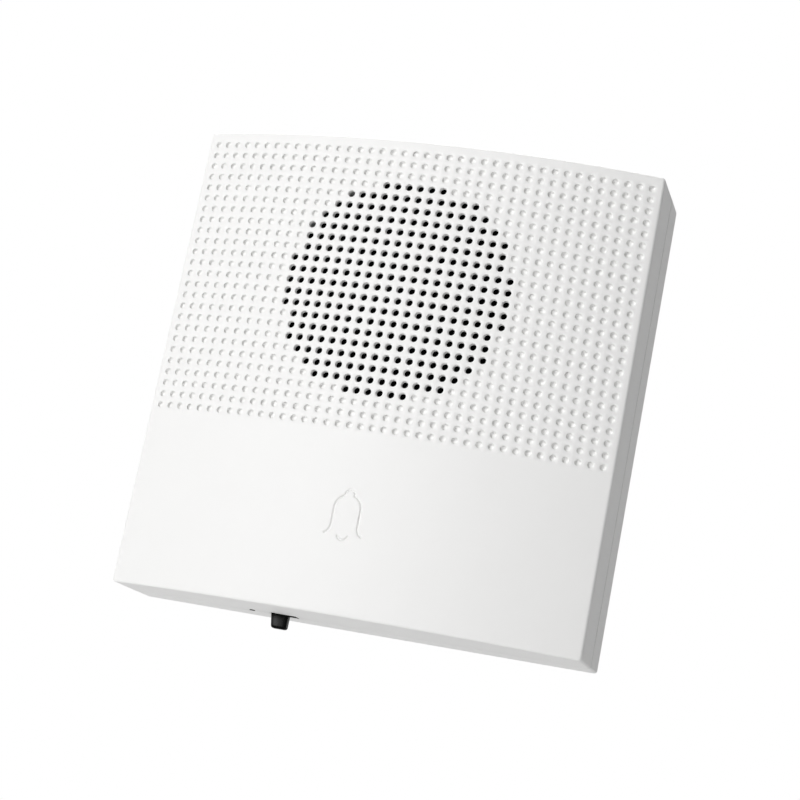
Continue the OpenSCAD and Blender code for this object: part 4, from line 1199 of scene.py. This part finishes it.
def followCone(piece, moving, still):
    # within the moving radius the piece goes with the cone, beyond the still one it stays
    x, _, z = middleOf("dust_cloth")
    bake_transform(piece, "case", "diaphragm", Vector((x + still, 0, z)) * mm, Vector((x + moving, 0, z)) * mm)
    weights = piece.data.attributes["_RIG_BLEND"].data
    for point in piece.data.vertices:
        radius = math.hypot(point.co.x / mm - x, point.co.z / mm - z)
        share = max(0, min(1, (still - radius) / (still - moving)))
        weights[point.index].value = share * share * (3 - 2 * share)
    return piece


# each ring bends only between its glued rims
surroundRoll = makeSurround(softParts).build("surround_roll")
rollFrom = softParts["rollInner"] + softParts["sheet"]
rollTo = softParts["rollOuter"] - softParts["sheet"]
dress(followCone(surroundRoll, rollFrom, rollTo), None, "surround")
spiderCloth = makeSpider(softParts).build("spider_cloth")
spiderFrom = softParts["spiderInner"] + softParts["spiderFlat"]
dress(followCone(spiderCloth, spiderFrom, softParts["ledgeInner"]), None, "spider")


# Leads of the loudspeaker: round wires along the routes of their CAD solids

leadShape = {
    "rounds": 2,  # subdivisions
    "swell": 0.055,  # what the subdivision takes off the radius
    "flat": 40,  # degrees between triangles that become one face
    "weld": 0.001,
}


def makeLead(node, name, shape):
    work = bmesh.new()
    work.from_mesh(node.data)
    bmesh.ops.remove_doubles(work, verts=work.verts, dist=shape["weld"] * mm)
    flat = math.radians(shape["flat"])
    bmesh.ops.join_triangles(work, faces=work.faces, angle_face_threshold=flat, angle_shape_threshold=flat)
    bmesh.ops.recalc_face_normals(work, faces=work.faces)
    work.normal_update()
    for point in work.verts:
        point.co += point.normal * shape["swell"] * mm
    mesh = bpy.data.meshes.new(name)
    work.to_mesh(mesh)
    work.free()
    mesh.shade_smooth()
    wire = newObject(name, mesh)
    rounding = wire.modifiers.new("round", "SUBSURF")
    rounding.levels = rounding.render_levels = shape["rounds"]
    return wire


for colour in ("red", "black"):
    leadName = "speaker_lead_" + colour
    lead = makeLead(frame["nodes"][leadName], "lead_wire_" + colour, leadShape)
    dress(lead, "case", leadName)


# The other nodes keep their CAD shape: eased edges and a finish

eased = {
    "small": 0.05,  # width of the eased edges
    "usual": 0.12,
    "segments": 2,
    "weld": 0.001,
    "flat": 1,  # degrees up to which faces are one
    "sharp": 40,  # degrees from which an edge is eased
}
smallNodes = (
    "chip_leads", "switch_pins", "header_pins", "terminal_pins", "solder_tags", "switch_contact",
    "component_legs", "chip_resistors", "chip_capacitors", "switch_shell", "coil_former", "coil_winding",
    "slot_strip",
)


def easeEdges(node, width, look):
    node.modifiers.new("joined", "WELD").merge_threshold = look["weld"] * mm
    flat = node.modifiers.new("whole faces", "DECIMATE")
    flat.decimate_type = "DISSOLVE"
    flat.angle_limit = math.radians(look["flat"])
    edge = node.modifiers.new("eased edges", "BEVEL")
    edge.width = width * mm
    edge.segments = look["segments"]
    edge.limit_method = "ANGLE"
    edge.angle_limit = math.radians(look["sharp"])
    node.modifiers.new("even shading", "WEIGHTED_NORMAL").keep_sharp = True


for name, node in frame["nodes"].items():
    finish = finishes[slotOf[name]]
    for slot in node.material_slots:
        slot.material = finish
    if not node.hide_render:
        easeEdges(node, eased["small" if name in smallNodes else "usual"], eased)
print("nodes finished:", len(frame["nodes"]))


# Floor, white surroundings and soft studio light

studio = {
    "floorZ": -160,
    "floorHalf": 3000,
    "floorSteps": 8,
    "floorColour": (0.88, 0.88, 0.88),
    "fadeFrom": 500,
    "fadeTo": 1500,
    "ambient": 0.162,
    "key": {"from": (-0.36, -0.91, 0.20), "distance": 1000, "size": 500, "power": 5.7},
    "low": {"from": (-0.33, -0.94, -0.01), "distance": 1000, "size": 120, "power": 0.42},
    "top": {"from": (-0.30, 0.25, 0.92), "distance": 1000, "size": 600, "power": 7.8},
}


def addFloor(look):
    net = Net()
    reach = look["floorHalf"]
    lines = evenly(-reach, reach, look["floorSteps"])
    net.skin([[net.at(x, y, look["floorZ"]) for x in lines] for y in lines], closed=False)
    floor = net.build("floor")
    material, sheet = newFinish("pale floor")
    spot = sheet.node("ShaderNodeTexCoord", output="Object")
    distance = sheet.node("ShaderNodeVectorMath", {"operation": "LENGTH"}, {0: spot}, 1)
    limits = {"Value": distance, "From Min": look["fadeFrom"] * mm, "From Max": look["fadeTo"] * mm}
    fade = sheet.node("ShaderNodeMapRange", {"interpolation_type": "SMOOTHSTEP"}, limits)
    seen = sheet.ray("Camera")
    paper = sheet.node("ShaderNodeBsdfDiffuse", None, {"Color": shade(look["floorColour"])})
    white = sheet.node("ShaderNodeEmission", None, {"Color": (1, 1, 1, 1), "Strength": 1})
    mixed = sheet.node("ShaderNodeMixShader", None, {0: fade * seen, 1: paper, 2: white})
    sheet.node("ShaderNodeOutputMaterial", None, {"Surface": mixed})
    floor.data.materials.append(material)


def setSurroundings(look):
    world = bpy.data.worlds.new("white studio")
    world.use_nodes = True
    sheet = NodeSheet(world.node_tree)
    seen, mirrored, passed = [sheet.ray(kind) for kind in ("Camera", "Glossy", "Transmission")]
    either = {"operation": "ADD", "use_clamp": True}
    shown = sheet.node("ShaderNodeMath", either, {0: seen + mirrored, 1: passed})
    strength = look["ambient"] + (1 - look["ambient"]) * shown
    light = sheet.node("ShaderNodeBackground", None, {"Color": (1, 1, 1, 1), "Strength": strength})
    sheet.node("ShaderNodeOutputWorld", None, {"Surface": light})
    bpy.context.scene.world = world


def addLamp(name, look):
    lamp = bpy.data.lights.new(name, "AREA")
    lamp.shape = "SQUARE"
    lamp.size = look["size"] * mm
    lamp.energy = look["power"]
    holder = newObject(name, lamp)
    direction = Vector(look["from"]).normalized()
    holder.location = direction * look["distance"] * mm
    holder.rotation_mode = "QUATERNION"
    holder.rotation_quaternion = direction.to_track_quat("Z", "Y")
    holder.visible_camera = False


addFloor(studio)
setSurroundings(studio)
for lampName in ("key", "low", "top"):
    addLamp(lampName + " lamp", studio[lampName])
bpy.context.scene.view_settings.view_transform = "Standard"
print("studio set")
